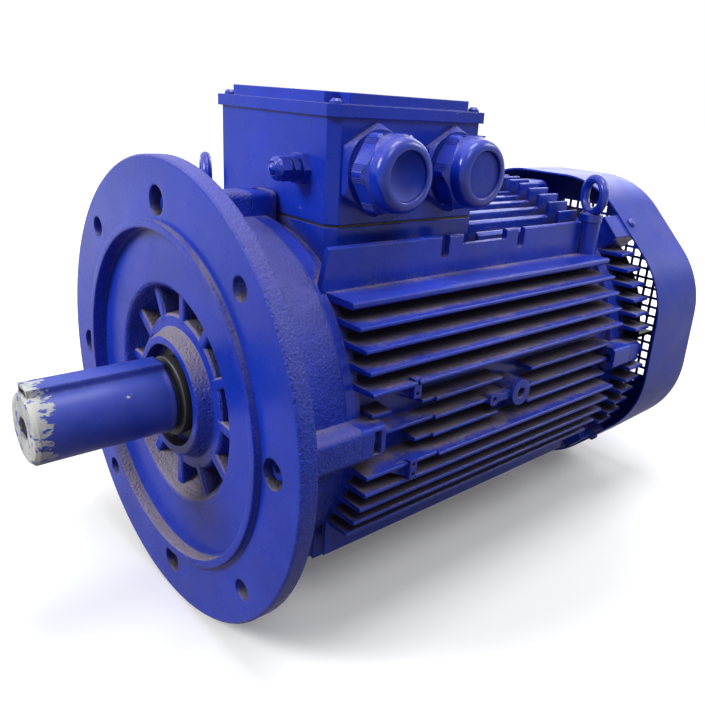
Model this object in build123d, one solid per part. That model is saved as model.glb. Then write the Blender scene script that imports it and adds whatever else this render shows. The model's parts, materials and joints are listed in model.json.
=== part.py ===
from build123d import *
import math
import os

# Three-phase induction motor, flange mounted, with fins, a terminal box and a rear fan.
# All lengths are millimetres. The shaft axis is Y and the driven end points along -Y.
# The origin is the centre of the flange's mounting face. +Z is up, +X is the side of the cable glands.

# Mounting flange and drive-end shield
flange_d = 400.0
flange_t = 14.0
rim_chamfer = 1.5
spigot_d = 300.0
spigot_t = 5.0
spigot_wall = 7.0
bolt_pcd = 350.0
bolt_hole_d = 18.5
bolt_count = 4
shield_d = 304.0
shield_wall = 8.0
de_shield_len = 77.0
web_recess = 6.0
web_t = 9.0
pocket_d = 189.0
pocket_depth = 27.0
pocket_wall = 8.0
pocket_floor_t = 9.0
rib_count = 12
rib_t = 10.0
rib_set_back = 8.0
rib_phase = 5.0
rib_edge_r = 2.5
ledge_d = 138.0
ledge_set_back = 8.5
collar_front = 2.5
collar_d = 105.0
collar_bore_d = 90.0
hub_wall = 9.0
gusset_count = 8
gusset_t = 8.0
gusset_leg = 15.0

# Joints between the shields and the frame
register_d = 280.0
register_len = 6.0
register_wall = 7.0
shield_screw_inset = 15.1
shield_screw_count = 4
shield_screw_d = 10.0
shield_screw_head_d = 16.0
shield_screw_head_h = 10.0
de_screw_len = 78.0
nde_screw_len = 45.0
shield_screw_socket = 8.0
screw_play = 1.0
access_d = 24.0
access_shift = 3.8
lug_half_width = 14.5
nde_lug_half_width = 12.5
lug_wall = 9.5
lug_edge_r = 6.0
lug_pocket_gap = 12.0
lug_pocket_wall = 4.5
de_screw_seat_y = 17.0
nde_lug_t = 18.0
frame_lug_front_len = 24.0
frame_lug_rear_len = 34.0

# Finned frame
frame_len = 393.0
core_d = 275.0
frame_wall = 7.5
end_ring_len = 14.0
fin_tip_d = 354.0
fin_root_t = 6.0
fin_edge_t = 3.6
fin_pitch = 15.75
fin_front_gap = 8.0
fin_rear_gap = 30.0
shelf_z = 104.0
side_fin_rows = 4
lower_fin_z = -31.0
lower_fin_rows = 5
short_fin_pitch = 17.0
short_fin_tip_d = 330.0
fin_step_y = 164.0
fin_step_drop = 3.0
short_fin_upper_y = 150.0
short_fin_lower_y = 145.0
short_fin_boss_gap = 22.0
short_fin_stub_from = 95.0
short_fin_stub_to = 115.0
bottom_fin_rows = 8
wall_x = 106.0
wall_t = 6.0
wall_rear_gap = 12.0
wall_front_gap = 2.0
wall_front_slant = 8.5
top_fin_pitch = 14.0
top_fin_rows = 7
top_fin_cut_d = 328.0
raised_end_len = 34.0
notch_centre_y = 271.0
notch_spacing = 108.0
notch_w = 10.0
notch_depth = 20.0
dip_len = 62.0
dip_depth = 9.0
post_d = 23.0
post_x = 112.0
post_front_gap = 26.0
post_rear_gap = 30.0
post_rise = 0.25
lead_way_depth = 40.0
turret_opening_x = 104.0
turret_opening_y = 96.0

# Small features of the finned frame on the gland side
boss_y = 273.0
boss_d = 25.5
boss_x = 171.0
boss_hole_d = 10.2
boss_hole_depth = 22.0
ear_reach = 35.0
ear_d = 13.0
ear_hole_d = 5.0
ear_t = 9.0
ear_web_h = 7.5
pad_y = 133.0
pad_w = 8.0
pad_h = 17.0
pad_t = 12.0
pad_drop = 4.5
pad_web_run = 24.0
pad_web_t = 5.0
pad_hole_d = 3.6
pad_hole_pitch = 9.0

# Non-drive-end shield
nde_rim_len = 13.0
nde_web_t = 8.0
nde_web_run = 28.0
nde_bearing_set_back = 27.0
nde_end_wall = 6.0
nde_fin_inset = 2.0
nde_fin_len = 28.0
nde_fin_pitch = 15.5
nde_fin_rows = 6
nde_fin_upper_z = 28.5
nde_fin_lower_z = -17.5
arm_half_width = 14.0
arm_shift = 11.5
arm_len = 50.0
arm_hole_d = 5.0

# Fan cover and grille
cover_flats = 362.0
cover_corner_r = 105.0
cover_t = 2.0
cover_front_gap = 30.0
cover_len = 105.0
cover_rear_r = 16.0
grille_open_d = 300.0
grille_lap = 7.0
grille_t = 1.5
grille_pitch = 23.4
grille_bar = 4.0
cover_screw_y = 44.0
cover_screw_d = 5.0
cover_screw_head_d = 11.0
cover_screw_head_h = 3.5
cover_screw_len = 16.0

# Bearings, both alike
bearing_bore = 60.0
bearing_od = 110.0
bearing_w = 22.0
ball_d = 15.9
ball_count = 9
ball_gap = 0.25
ring_shoulder = 4.3
cage_t = 4.0
cage_w = 19.5
cage_play = 0.4
seal_od = 80.0
seal_w = 8.0
seal_play = 0.3
seal_shoulder = 2.0
shaft_pass_play = 1.5
inner_cap_t = 7.0
inner_cap_d = 124.0
inner_cap_play = 0.4
wave_spring_t = 3.0
wave_spring_wall = 6.0

# Stator and rotor
core_len = 190.0
air_gap = 0.6
stator_bore = 180.0
winding_len = 52.0
winding_inner_gap = 6.0
winding_outer_gap = 9.0
end_ring_t = 14.0
end_ring_wall = 22.0
blade_count = 12
blade_len = 18.0
blade_t = 5.0
core_shaft_d = 72.0
shoulder_d = 66.0

# Shaft, key, fan
shaft_d = 55.0
shaft_len = 110.0
shaft_chamfer = 2.0
centre_hole_d = 17.5
centre_hole_depth = 42.0
key_w = 16.0
key_h = 10.0
key_len = 90.0
key_seat = 6.0
key_end_gap = 10.0
fan_seat_d = 45.0
fan_seat_len = 40.0
fan_hub_d = 74.0
fan_hub_len = 32.0
fan_d = 280.0
fan_plate_t = 4.0
fan_blade_len = 36.0
fan_blade_t = 4.0
fan_blade_count = 7
fan_blade_root_d = 120.0
circlip_t = 1.75
circlip_wall = 5.0
circlip_groove = 1.2
v_ring_d = 84.0
v_ring_w = 6.0
v_ring_gap = 0.6
de_v_ring_d = 69.0
de_v_ring_w = 8.0
de_v_ring_set_back = 1.0

# Protective sleeve on the shaft extension
sleeve_wall = 2.0
sleeve_play = 0.3
sleeve_end_t = 2.0
sleeve_inner_y = -4.0
sleeve_hole_d = 18.0
sleeve_lip = 1.2

# Terminal box
box_x = 173.5
box_y = 174.5
box_front_y = 103.6
box_base_z = 153.5
box_h = 88.0
box_wall = 6.0
box_floor = 6.0
box_corner = 8.0
box_room_corner = 1.0
base_gasket_t = 2.0
box_opening_x = 96.0
box_opening_y = 88.0
lid_overhang = 3.0
lid_play = 0.6
lid_skirt = 5.0
lid_t = 3.0
lid_gasket_t = 1.6
lid_gasket_lap = 8.0
plateau_inset = 8.0
plateau_h = 8.7
plateau_notch = 14.0
lid_screw_inset = 11.0
lid_screw_d = 6.0
lid_screw_head_d = 10.0
lid_screw_head_h = 4.0
lid_screw_len = 18.0
lid_post_d = 15.0
lid_post_len = 20.0
lid_tap_depth = 17.0
box_screw_pitch_x = 132.0
box_screw_pitch_y = 122.0
box_screw_d = 8.0
box_screw_head_d = 13.0
box_screw_head_h = 5.5
box_screw_len = 18.0

# Terminal board
board_x = 86.0
board_y = 66.0
board_t = 12.0
board_lift = 14.0
board_foot_d = 14.0
board_rail_reach = 16.0
stud_d = 8.0
stud_len = 28.0
stud_pitch_x = 26.0
stud_row_gap = 30.0
nut_af = 13.0
nut_h = 6.0
link_w = 12.0
link_t = 2.0
earth_x = -58.0
earth_y = 24.0

# Large cable glands
gland_thread_d = 50.0
gland_pitch = 90.0
gland_z = 196.5
gland_af = 65.0
gland_nut_af = 61.0
gland_flange_t = 8.0
gland_neck_len = 4.5
gland_inner_len = 16.0
gland_neck_d = 54.0
gland_bore_d = 38.0
gland_nut_hex_len = 17.0
gland_dome_len = 14.5
gland_dome_d = 59.0
gland_dome_round = 7.6
gland_mouth_round = 1.6
gland_mouth_d = 39.4
locknut_af = 60.0
locknut_t = 7.0
plug_play = 0.4
plug_t = 12.0
plug_set_back = 3.0
dish_depth = 9.5

# Small cable gland
small_x = 45.8
small_z = 194.2
small_thread_d = 20.0
small_flange_af = 24.0
small_flange_t = 5.0
small_neck_d = 15.0
small_neck_len = 3.0
small_body_af = 20.0
small_body_t = 4.5
small_nut_af = 19.0
small_nut_len = 8.0
small_dome_len = 4.0
small_bore_d = 11.0
small_inner_len = 10.0
small_locknut_af = 24.0
small_locknut_t = 4.0
ball_plug_d = 10.4
ball_plug_reach = 3.0
ball_plug_len = 16.0

# Eyebolts
eye_mean_r = 17.5
eye_wire_d = 10.0
eye_centre_h = 27.5
eye_collar_d = 25.0
eye_collar_h = 8.0
eye_shank_d = 12.0
eye_shank_len = 18.0
thread_gap = 0.1
eye_turn = -24.0

# Places along the shaft that several pieces share
joint_de = de_shield_len
joint_nde = joint_de + frame_len
fin_front = joint_de + fin_front_gap
fin_rear = joint_nde - fin_rear_gap
mid_y = joint_de + frame_len / 2
flange_r = flange_d / 2
spigot_r = spigot_d / 2
shield_r = shield_d / 2
register_r = register_d / 2
tube_r = core_d / 2 + frame_wall
shield_screw_pcd = fin_tip_d - 2 * shield_screw_inset
lug_r = shield_screw_pcd / 2 + lug_wall
nde_fin_d = fin_tip_d - 2 * nde_fin_inset
post_top_z = math.sqrt(max((fin_tip_d / 2) ** 2 - wall_x ** 2, 1.0)) + post_rise
seal_y = web_recess + 8.0
bearing_de_y = seal_y + seal_w + seal_shoulder
bearing_nde_y = joint_nde + nde_bearing_set_back
nde_end_y = bearing_nde_y + bearing_w + wave_spring_t + nde_end_wall
cover_front = joint_nde + cover_front_gap
cover_rear = cover_front + cover_len
core_front = mid_y - core_len / 2
core_rear = mid_y + core_len / 2
fan_front = nde_end_y + v_ring_w + 2 * v_ring_gap
fan_rear = fan_front + fan_hub_len
box_mid_y = box_front_y + box_y / 2
box_top = box_base_z + box_h
turret_top = box_base_z - base_gasket_t
lid_top = box_top + lid_gasket_t + lid_t
gland_face_x = box_x / 2


def turned(points):
    """Body of revolution about the shaft axis from (radius, y) points."""
    return revolve(make_face(Polyline(*points, close=True)), Axis.Y)


def turned_z(points):
    """Body of revolution about a local Z axis from (radius, z) points."""
    return revolve(Plane.XZ * make_face(Polyline(*points, close=True)), Axis.Z)


def along_y(outline, y_from, y_to):
    """Outline drawn in (x, z) and carried from y_from to y_to."""
    return extrude(Plane.XZ.offset(-y_from) * outline, amount=y_from - y_to)


def rod_y(radius, y_from, y_to, x=0.0, z=0.0):
    """Round bar parallel to the shaft."""
    return along_y(Pos(x, z) * Circle(radius), y_from, y_to)


def block(x0, x1, y0, y1, z0, z1):
    """Box between two corners."""
    centre = Pos((x0 + x1) / 2, (y0 + y1) / 2, (z0 + z1) / 2)
    return centre * Box(x1 - x0, y1 - y0, z1 - z0)


def hexagon(across_flats):
    """Regular hexagon with the given width across its flats."""
    return RegularPolygon(across_flats / 2, 6, major_radius=False)


def around_shaft(piece, count, phase=0.0):
    """Copies of a piece turned evenly about the shaft axis."""
    return [Rot(0, phase + 360.0 * i / count, 0) * piece for i in range(count)]


def set_of(pieces):
    """Loose pieces of one kind, kept as separate solids."""
    solids = []
    for piece in pieces:
        solids.extend(piece.solids())
    return Compound(solids)


def bell_profile():
    """Half section of the drive-end shield, from the spigot round to the hub and back."""
    hub_r = bearing_od / 2 + hub_wall
    pocket_r = pocket_d / 2
    floor_y = web_recess + pocket_depth
    ledge_y = web_recess + ledge_set_back
    back_y = floor_y + pocket_floor_t
    housing_end = bearing_de_y + bearing_w
    inner_r = register_r - register_wall
    return [
        (spigot_r - spigot_wall, -spigot_t),
        (spigot_r, -spigot_t),
        (spigot_r, 0),
        (flange_r - rim_chamfer, 0),
        (flange_r, rim_chamfer),
        (flange_r, flange_t),
        (shield_r + 6, flange_t),
        (shield_r, flange_t + 8),
        (shield_r, joint_de),
        (register_r, joint_de),
        (register_r, joint_de + register_len),
        (inner_r, joint_de + register_len),
        (inner_r, web_recess + web_t + 12),
        (inner_r - 10, web_recess + web_t),
        (pocket_r + pocket_wall + 3, web_recess + web_t),
        (pocket_r + pocket_wall, back_y),
        (hub_r + 4, back_y),
        (hub_r, housing_end),
        (bearing_od / 2, housing_end),
        (bearing_od / 2, bearing_de_y),
        (bearing_bore / 2 + 6, bearing_de_y),
        (bearing_bore / 2 + 6, bearing_de_y - seal_shoulder),
        (seal_od / 2, bearing_de_y - seal_shoulder),
        (seal_od / 2, seal_y),
        (collar_bore_d / 2, seal_y),
        (collar_bore_d / 2, collar_front),
        (collar_d / 2 - 1, collar_front),
        (collar_d / 2, collar_front + 1),
        (collar_d / 2 + 4, ledge_y - 3),
        (collar_d / 2 + 6, ledge_y),
        (ledge_d / 2 - 1.5, ledge_y),
        (ledge_d / 2 + 0.5, ledge_y + 2),
        (ledge_d / 2 + 2, floor_y - 3),
        (ledge_d / 2 + 4, floor_y),
        (pocket_r - 17, floor_y - 0.5),
        (pocket_r - 11, floor_y - 4),
        (pocket_r - 6, floor_y - 10),
        (pocket_r - 2.5, floor_y - 17),
        (pocket_r - 0.5, web_recess + 3),
        (pocket_r + 0.8, web_recess + 1),
        (pocket_r + 3, web_recess),
        (spigot_r - spigot_wall, web_recess),
    ]


def pocket_ribs():
    """Radial ribs that tie the hub to the wall of the pocket round it."""
    hub_r = bearing_od / 2 + hub_wall
    floor_y = web_recess + pocket_depth
    front_y = web_recess + rib_set_back
    rib = block(hub_r, pocket_d / 2 + 3, front_y, floor_y + 3, -rib_t / 2, rib_t / 2)
    long_edges = rib.edges().filter_by(Axis.X).group_by(Axis.Y)[0]
    return around_shaft(fillet(long_edges, rib_edge_r), rib_count, rib_phase)


def disc_gussets():
    """Small triangular gussets between the back of the flange and the bell."""
    side = Polyline(
        (shield_r - 3, flange_t - 1),
        (shield_r + gusset_leg, flange_t - 1),
        (shield_r, flange_t + gusset_leg),
        (shield_r - 3, flange_t + gusset_leg),
        close=True,
    )
    gusset = extrude(make_face(side), amount=gusset_t / 2, both=True)
    return around_shaft(gusset, gusset_count, 180.0 / gusset_count)


def screw_lug(inside, y_from, y_to, half_width):
    """Lug for one screw between a shield and the frame, at the +X side, with rounded outer edges."""
    lug = block(inside, lug_r, y_from, y_to, -half_width, half_width)
    outer_edges = lug.edges().filter_by(Axis.Y).group_by(Axis.X)[-1]
    return fillet(outer_edges, lug_edge_r)


def shield_lug(y_from, y_to, half_width):
    """Lug on a shield that takes one screw into the frame."""
    return screw_lug(register_r + 2, y_from, y_to, half_width)


def drive_end_shield():
    """Cast flange and bearing shield of the driven end."""
    screw_r = shield_screw_pcd / 2
    body = turned(bell_profile()) + pocket_ribs() + disc_gussets()
    body = body + around_shaft(shield_lug(flange_t - 1, joint_de, lug_half_width), shield_screw_count)
    access = rod_y(access_d / 2, -1, flange_t, screw_r + access_shift)
    access = access + rod_y(shield_screw_head_d / 2 + screw_play / 2, -1, de_screw_seat_y, screw_r)
    passage = rod_y(shield_screw_d / 2 + screw_play / 2, de_screw_seat_y - 1, joint_de + 1, screw_r)
    body = body - around_shaft(access + passage, shield_screw_count)
    bolt_hole = rod_y(bolt_hole_d / 2, -1, flange_t + 1, bolt_pcd / 2)
    body = body - around_shaft(bolt_hole, bolt_count, 180.0 / bolt_count)
    return body


def side_fin(z, tip_r, root_t, edge_t):
    """Pair of level fins, one on each side, that thin towards their edges, as an outline in (x, z)."""
    reach = math.sqrt(tip_r ** 2 - z ** 2)
    root = math.sqrt(max(tube_r - 4, abs(z) + 1) ** 2 - z ** 2)
    corner = edge_t / 4
    right = make_face(Polyline(
        (root, z - root_t / 2),
        (reach - corner, z - edge_t / 2),
        (reach, z - edge_t / 2 + corner),
        (reach, z + edge_t / 2 - corner),
        (reach - corner, z + edge_t / 2),
        (root, z + root_t / 2),
        close=True,
    ))
    return right + mirror(right, about=Plane.YZ)


def upright_fin(x, z_from, z_to, root_t, edge_t):
    """Pair of upright fins that thin from z_from to z_to, one on each side, as an outline in (x, z)."""
    corner = math.copysign(edge_t / 4, z_to - z_from)
    right = make_face(Polyline(
        (x - root_t / 2, z_from),
        (x - edge_t / 2, z_to - corner),
        (x - edge_t / 4, z_to),
        (x + edge_t / 4, z_to),
        (x + edge_t / 2, z_to - corner),
        (x + root_t / 2, z_from),
        close=True,
    ))
    return right + mirror(right, about=Plane.YZ)


def circle_height(radius, x):
    """Height of a circle about the shaft axis at a given x."""
    return math.sqrt(max(radius ** 2 - x ** 2, 1.0))


def long_fins():
    """Level fins and bottom fins that run nearly the whole length of the frame."""
    tip_r = fin_tip_d / 2
    outline = Sketch()
    for i in range(1, side_fin_rows + 1):
        outline = outline + side_fin(shelf_z - i * fin_pitch, tip_r, fin_root_t, fin_edge_t)
    for i in range(1, lower_fin_rows):
        outline = outline + side_fin(lower_fin_z - i * fin_pitch, tip_r - 1, fin_root_t, fin_edge_t)
    outline = outline + side_fin(shelf_z, tip_r, wall_t, wall_t)
    for i in range(bottom_fin_rows):
        x = (i + 0.5) * fin_pitch
        low = -circle_height(tip_r - 1, x)
        high = -circle_height(tube_r - 4, x)
        outline = outline + upright_fin(x, high, low, fin_root_t, fin_edge_t)
    return along_y(outline, fin_front, fin_rear) + stepped_fin(lower_fin_z, tip_r - 1, [(fin_front, fin_rear)])


def stepped_fin(z, tip_r, runs):
    """Level fins with the given runs along the shaft, shallower as far as the step near the front."""
    outline = side_fin(z, tip_r, fin_root_t, fin_edge_t)
    shallow = side_fin(z, tip_r - fin_step_drop, fin_root_t, fin_edge_t)
    fins = Part()
    for start, end in runs:
        if start < fin_step_y:
            fins = fins + along_y(shallow, start, min(end, fin_step_y))
        if end > fin_step_y:
            fins = fins + along_y(outline, max(start, fin_step_y), end)
    return fins


def short_fins():
    """Shallow level fins round the middle, broken for the boss."""
    tip_r = short_fin_tip_d / 2
    front = joint_de + frame_lug_front_len + 9
    rear = fin_rear - 8
    gap_from = boss_y - short_fin_boss_gap
    gap_to = boss_y + short_fin_boss_gap
    stub = (short_fin_stub_from, short_fin_stub_to)
    upper = stepped_fin(short_fin_pitch, tip_r, [stub, (short_fin_upper_y, gap_from), (gap_to, rear)])
    lower = stepped_fin(-short_fin_pitch, tip_r, [(short_fin_lower_y, gap_from), (gap_to, rear)])
    return upper + stepped_fin(0, tip_r, [(front, rear)]) + lower


def side_walls():
    """Upright walls on the shelves, notched at the top for the cable glands."""
    low = circle_height(tube_r - 4, wall_x)
    high = circle_height(fin_tip_d / 2, wall_x)
    front = joint_de + wall_front_gap
    walls = along_y(upright_fin(wall_x, low, high, wall_t, wall_t), front, fin_rear - wall_rear_gap)
    slant = Polyline(
        (front - 1, shelf_z),
        (front, shelf_z),
        (front + wall_front_slant, high + 1),
        (front - 1, high + 1),
        close=True,
    )
    cuts = [extrude(Plane.YZ * make_face(slant), amount=2 * wall_x, both=True)]
    for side in (-1, 1):
        x0 = side * wall_x - wall_t
        x1 = side * wall_x + wall_t
        dip_from = notch_centre_y - dip_len / 2
        dip_to = notch_centre_y + dip_len / 2
        cuts.append(block(x0, x1, dip_from, dip_to, high - dip_depth, high + 1))
        for end in (-1, 1):
            y = notch_centre_y + end * notch_spacing / 2
            slot_low = high - notch_depth + notch_w / 2
            cuts.append(block(x0, x1, y - notch_w / 2, y + notch_w / 2, slot_low, high + 1))
            round_end = Pos(side * wall_x, y, slot_low) * Rot(0, 90, 0)
            cuts.append(round_end * Cylinder(notch_w / 2, 2 * wall_t))
    return walls - cuts


def top_fins():
    """Upright fins behind the terminal box, cut lower along their middle."""
    tip_r = fin_tip_d / 2
    outline = Sketch()
    for i in range(1, top_fin_rows + 1):
        x = wall_x - i * top_fin_pitch
        outline = outline + upright_fin(x, circle_height(tube_r - 4, x), circle_height(tip_r, x), fin_root_t, fin_edge_t)
    fins = along_y(outline, box_front_y + box_y, fin_rear)
    cut_from = box_front_y + box_y - 1
    cut_to = fin_rear - raised_end_len
    ring = Circle(tip_r + 2) - Circle(top_fin_cut_d / 2)
    return fins - along_y(ring, cut_from, cut_to)


def eyebolt_places():
    """Centres of the two lifting posts, at opposite corners of the frame."""
    return [(post_x, joint_nde - post_rear_gap), (-post_x, joint_de + post_front_gap)]


def lifting_posts():
    """Round posts on the shelves that carry the eyebolts."""
    low = circle_height(tube_r - 4, post_x)
    height = post_top_z - low
    return [Pos(x, y, low + height / 2) * Cylinder(post_d / 2, height) for x, y in eyebolt_places()]


def post_holes():
    """Tapped holes for the eyebolts."""
    depth = eye_shank_len + 3
    hole = Cylinder(eye_shank_d / 2 + thread_gap, depth)
    return [Pos(x, y, post_top_z - depth / 2) * hole for x, y in eyebolt_places()]


def box_turret():
    """Raised seat of the terminal box, with the opening for the winding leads."""
    low = circle_height(tube_r - 6, box_x / 2)
    outline = Pos(0, box_mid_y) * Rectangle(box_x, box_y)
    outline = chamfer(outline.vertices(), box_corner)
    return extrude(Plane.XY.offset(low) * outline, amount=turret_top - low)


def turret_opening():
    """Way for the leads from the windings up into the terminal box."""
    x = turret_opening_x / 2
    y = turret_opening_y / 2
    low = core_d / 2 - lead_way_depth
    return block(-x, x, box_mid_y - y, box_mid_y + y, low, turret_top + 1)


def box_screw_places():
    """Places of the screws that hold the terminal box to its seat."""
    x = box_screw_pitch_x / 2
    y = box_screw_pitch_y / 2
    return [(i * x, box_mid_y + j * y) for i in (-1, 1) for j in (-1, 1)]


def frame_lugs():
    """Lugs at both ends of the frame that the shield screws enter."""
    inside = tube_r - 3
    front_end = joint_de + frame_lug_front_len
    front = screw_lug(inside, joint_de, front_end, lug_half_width)
    pocket_z = lug_half_width - lug_pocket_wall
    front = front - block(shield_r, lug_r + 1, joint_de + lug_pocket_gap, front_end - lug_pocket_wall, -pocket_z, pocket_z)
    rear = screw_lug(inside, joint_nde - frame_lug_rear_len, joint_nde, nde_lug_half_width)
    return around_shaft(front, shield_screw_count) + around_shaft(rear, shield_screw_count)


def lug_holes():
    """Tapped holes through the frame lugs."""
    radius = shield_screw_d / 2 + thread_gap
    screw_r = shield_screw_pcd / 2
    front = rod_y(radius, joint_de - 1, joint_de + frame_lug_front_len + 1, screw_r)
    rear = rod_y(radius, joint_nde - frame_lug_rear_len - 1, joint_nde + 1, screw_r)
    return around_shaft(front, shield_screw_count) + around_shaft(rear, shield_screw_count)


def earth_boss():
    """Tapped boss on the gland side, with a small ear beside it."""
    inside = tube_r - 4
    boss = Pos((boss_x + inside) / 2, boss_y, 0) * Rot(0, 90, 0) * Cylinder(boss_d / 2, boss_x - inside)
    ear_x = boss_x - 3
    ear_y = boss_y - ear_reach
    ear = Pos(ear_x - ear_t / 2, ear_y, 0) * Rot(0, 90, 0) * Cylinder(ear_d / 2, ear_t)
    bridge = block(ear_x - ear_t, ear_x, ear_y, boss_y, -ear_web_h / 2, ear_web_h / 2)
    hole_mid = boss_x - boss_hole_depth / 2
    hole = Pos(hole_mid, boss_y, 0) * Rot(0, 90, 0) * Cylinder(boss_hole_d / 2, boss_hole_depth)
    ear_hole = Pos(ear_x, ear_y, 0) * Rot(0, 90, 0) * Cylinder(ear_hole_d / 2, 3 * ear_t)
    return boss + ear + bridge, hole + ear_hole


def small_pads():
    """Two small drilled pads on the fins of the gland side."""
    pads = []
    holes = []
    for fin_z in (shelf_z - side_fin_rows * fin_pitch, lower_fin_z):
        z = fin_z - pad_drop
        x = math.sqrt((fin_tip_d / 2 - 1) ** 2 - fin_z ** 2)
        front = pad_y - pad_w / 2
        pads.append(block(x - pad_t, x, front, pad_y + pad_w / 2, z - pad_h / 2, z + pad_h / 2))
        web = make_face(Polyline(
            (front - pad_web_run, fin_z),
            (front + 1, z - pad_h / 2),
            (front + 1, z + pad_h / 2),
            close=True,
        ))
        pads.append(Pos(x - pad_t, 0, 0) * extrude(Plane.YZ * web, amount=pad_web_t))
        for i in (-0.5, 0.5):
            hole = Cylinder(pad_hole_d / 2, 3 * pad_t)
            holes.append(Pos(x, pad_y, z + i * pad_hole_pitch) * Rot(0, 90, 0) * hole)
    return pads, holes


def finned_frame():
    """Cast stator frame with its fins, walls, lifting posts and terminal box seat."""
    tube = rod_y(tube_r, joint_de, joint_nde)
    ends = rod_y(shield_r, joint_de, joint_de + end_ring_len)
    ends = ends + rod_y(shield_r, joint_nde - end_ring_len, joint_nde)
    boss, boss_holes = earth_boss()
    pads, pad_holes = small_pads()
    body = tube + ends + long_fins() + short_fins() + side_walls() + top_fins() + box_turret()
    body = body + lifting_posts() + frame_lugs() + boss + pads
    bore = rod_y(core_d / 2, joint_de - 1, joint_nde + 1)
    registers = rod_y(register_r, joint_de - 1, joint_de + register_len)
    registers = registers + rod_y(register_r, joint_nde - register_len, joint_nde + 1)
    body = body - bore - registers - turret_opening() - lug_holes() - post_holes()
    seat_hole = Cylinder(box_screw_d / 2 + thread_gap, box_screw_len)
    screws = [Pos(x, y, turret_top - box_screw_len / 2 + 1) * seat_hole for x, y in box_screw_places()]
    return body - boss_holes - pad_holes - screws


def nde_profile():
    """Half section of the non-drive-end shield."""
    hub_r = bearing_od / 2 + hub_wall
    inner_r = register_r - register_wall
    rim_back = joint_nde + nde_rim_len
    web_back = rim_back + nde_web_run
    spring_back = bearing_nde_y + bearing_w + wave_spring_t
    return [
        (inner_r, joint_nde - register_len),
        (register_r, joint_nde - register_len),
        (register_r, joint_nde),
        (shield_r, joint_nde),
        (shield_r, rim_back),
        (hub_r + 8, web_back),
        (hub_r, web_back + 4),
        (hub_r, nde_end_y),
        (bearing_bore / 2 + shaft_pass_play, nde_end_y),
        (bearing_bore / 2 + shaft_pass_play, spring_back),
        (bearing_od / 2, spring_back),
        (bearing_od / 2, bearing_nde_y - 8),
        (hub_r, bearing_nde_y - 8),
        (hub_r + 8, web_back - nde_web_t - 4),
        (inner_r, rim_back - nde_web_t + 2),
    ]


def nde_fins():
    """Level fins on the rim of the non-drive-end shield."""
    outline = Sketch()
    for i in range(nde_fin_rows):
        outline = outline + side_fin(nde_fin_upper_z + i * nde_fin_pitch, nde_fin_d / 2, fin_root_t, fin_edge_t)
        outline = outline + side_fin(nde_fin_lower_z - i * nde_fin_pitch, nde_fin_d / 2, fin_root_t, fin_edge_t)
    return along_y(outline, joint_nde + 1, joint_nde + 1 + nde_fin_len)


def cover_arm():
    """Arm of the non-drive-end shield that carries one flat of the fan cover, on the +X side."""
    tip = cover_flats / 2 - cover_t
    root = register_r + 4
    y0 = joint_nde + 2
    return block(root, tip, y0, y0 + arm_len, arm_shift - arm_half_width, arm_shift + arm_half_width)


def on_slanted_flats(piece):
    """Copies of a piece from the +X side on the four slanted flats of the fan cover, mirrored in pairs."""
    upper = Rot(0, -45, 0) * piece
    lower = mirror(upper, about=Plane.XY)
    pair = [upper, lower]
    return pair + [mirror(p, about=Plane.YZ) for p in pair]


def nde_shield():
    """Cast bearing shield of the fan end."""
    seat_y = joint_nde + nde_lug_t
    body = turned(nde_profile()) + nde_fins() + on_slanted_flats(cover_arm())
    body = body + around_shaft(shield_lug(joint_nde, seat_y, nde_lug_half_width), shield_screw_count)
    passage = rod_y(shield_screw_d / 2 + screw_play / 2, joint_nde - 1, seat_y + 1, shield_screw_pcd / 2)
    body = body - around_shaft(passage, shield_screw_count)
    hole_x = cover_flats / 2 - cover_screw_len / 2 - cover_t
    drill = Rot(0, 90, 0) * Cylinder(arm_hole_d / 2 + thread_gap, cover_screw_len + 4)
    return body - on_slanted_flats(Pos(hole_x, joint_nde + cover_screw_y, arm_shift) * drill)


def cover_outline(inset):
    """Eight-sided outline with well rounded corners, a given distance inside the cover."""
    octagon = RegularPolygon(cover_flats / 2 - inset, 8, major_radius=False, rotation=22.5)
    return fillet(octagon.vertices(), cover_corner_r - inset)


def fan_cover():
    """Pressed sheet cover of the fan, open at the front and at the round rear opening."""
    outer = along_y(cover_outline(0), cover_front, cover_rear)
    outer = fillet(outer.faces().sort_by(Axis.Y)[-1].edges(), cover_rear_r)
    inner = along_y(cover_outline(cover_t), cover_front - 1, cover_rear - cover_t)
    inner = fillet(inner.faces().sort_by(Axis.Y)[-1].edges(), cover_rear_r - cover_t)
    shell = outer - inner - rod_y(grille_open_d / 2, cover_rear - 3 * cover_t, cover_rear + 1)
    hole = Rot(0, 90, 0) * Cylinder(cover_screw_d / 2 + screw_play / 2, 6 * cover_t)
    return shell - on_slanted_flats(Pos(cover_flats / 2, joint_nde + cover_screw_y, arm_shift) * hole)


def fan_grille():
    """Punched disc behind the rear opening of the fan cover."""
    disc = Circle(grille_open_d / 2 + grille_lap)
    reach = grille_open_d / 2 - grille_bar
    side = grille_pitch - grille_bar
    steps = int(reach / grille_pitch) + 1
    openings = Sketch()
    for i in range(-steps, steps):
        for j in range(-steps, steps):
            x = (i + 0.5) * grille_pitch
            z = (j + 0.5) * grille_pitch
            if math.hypot(abs(x) + side / 2, abs(z) + side / 2) < reach:
                openings = openings + Pos(x, z) * Rectangle(side, side)
    rear = cover_rear - cover_t
    return along_y(disc - openings, rear - grille_t, rear)


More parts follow.
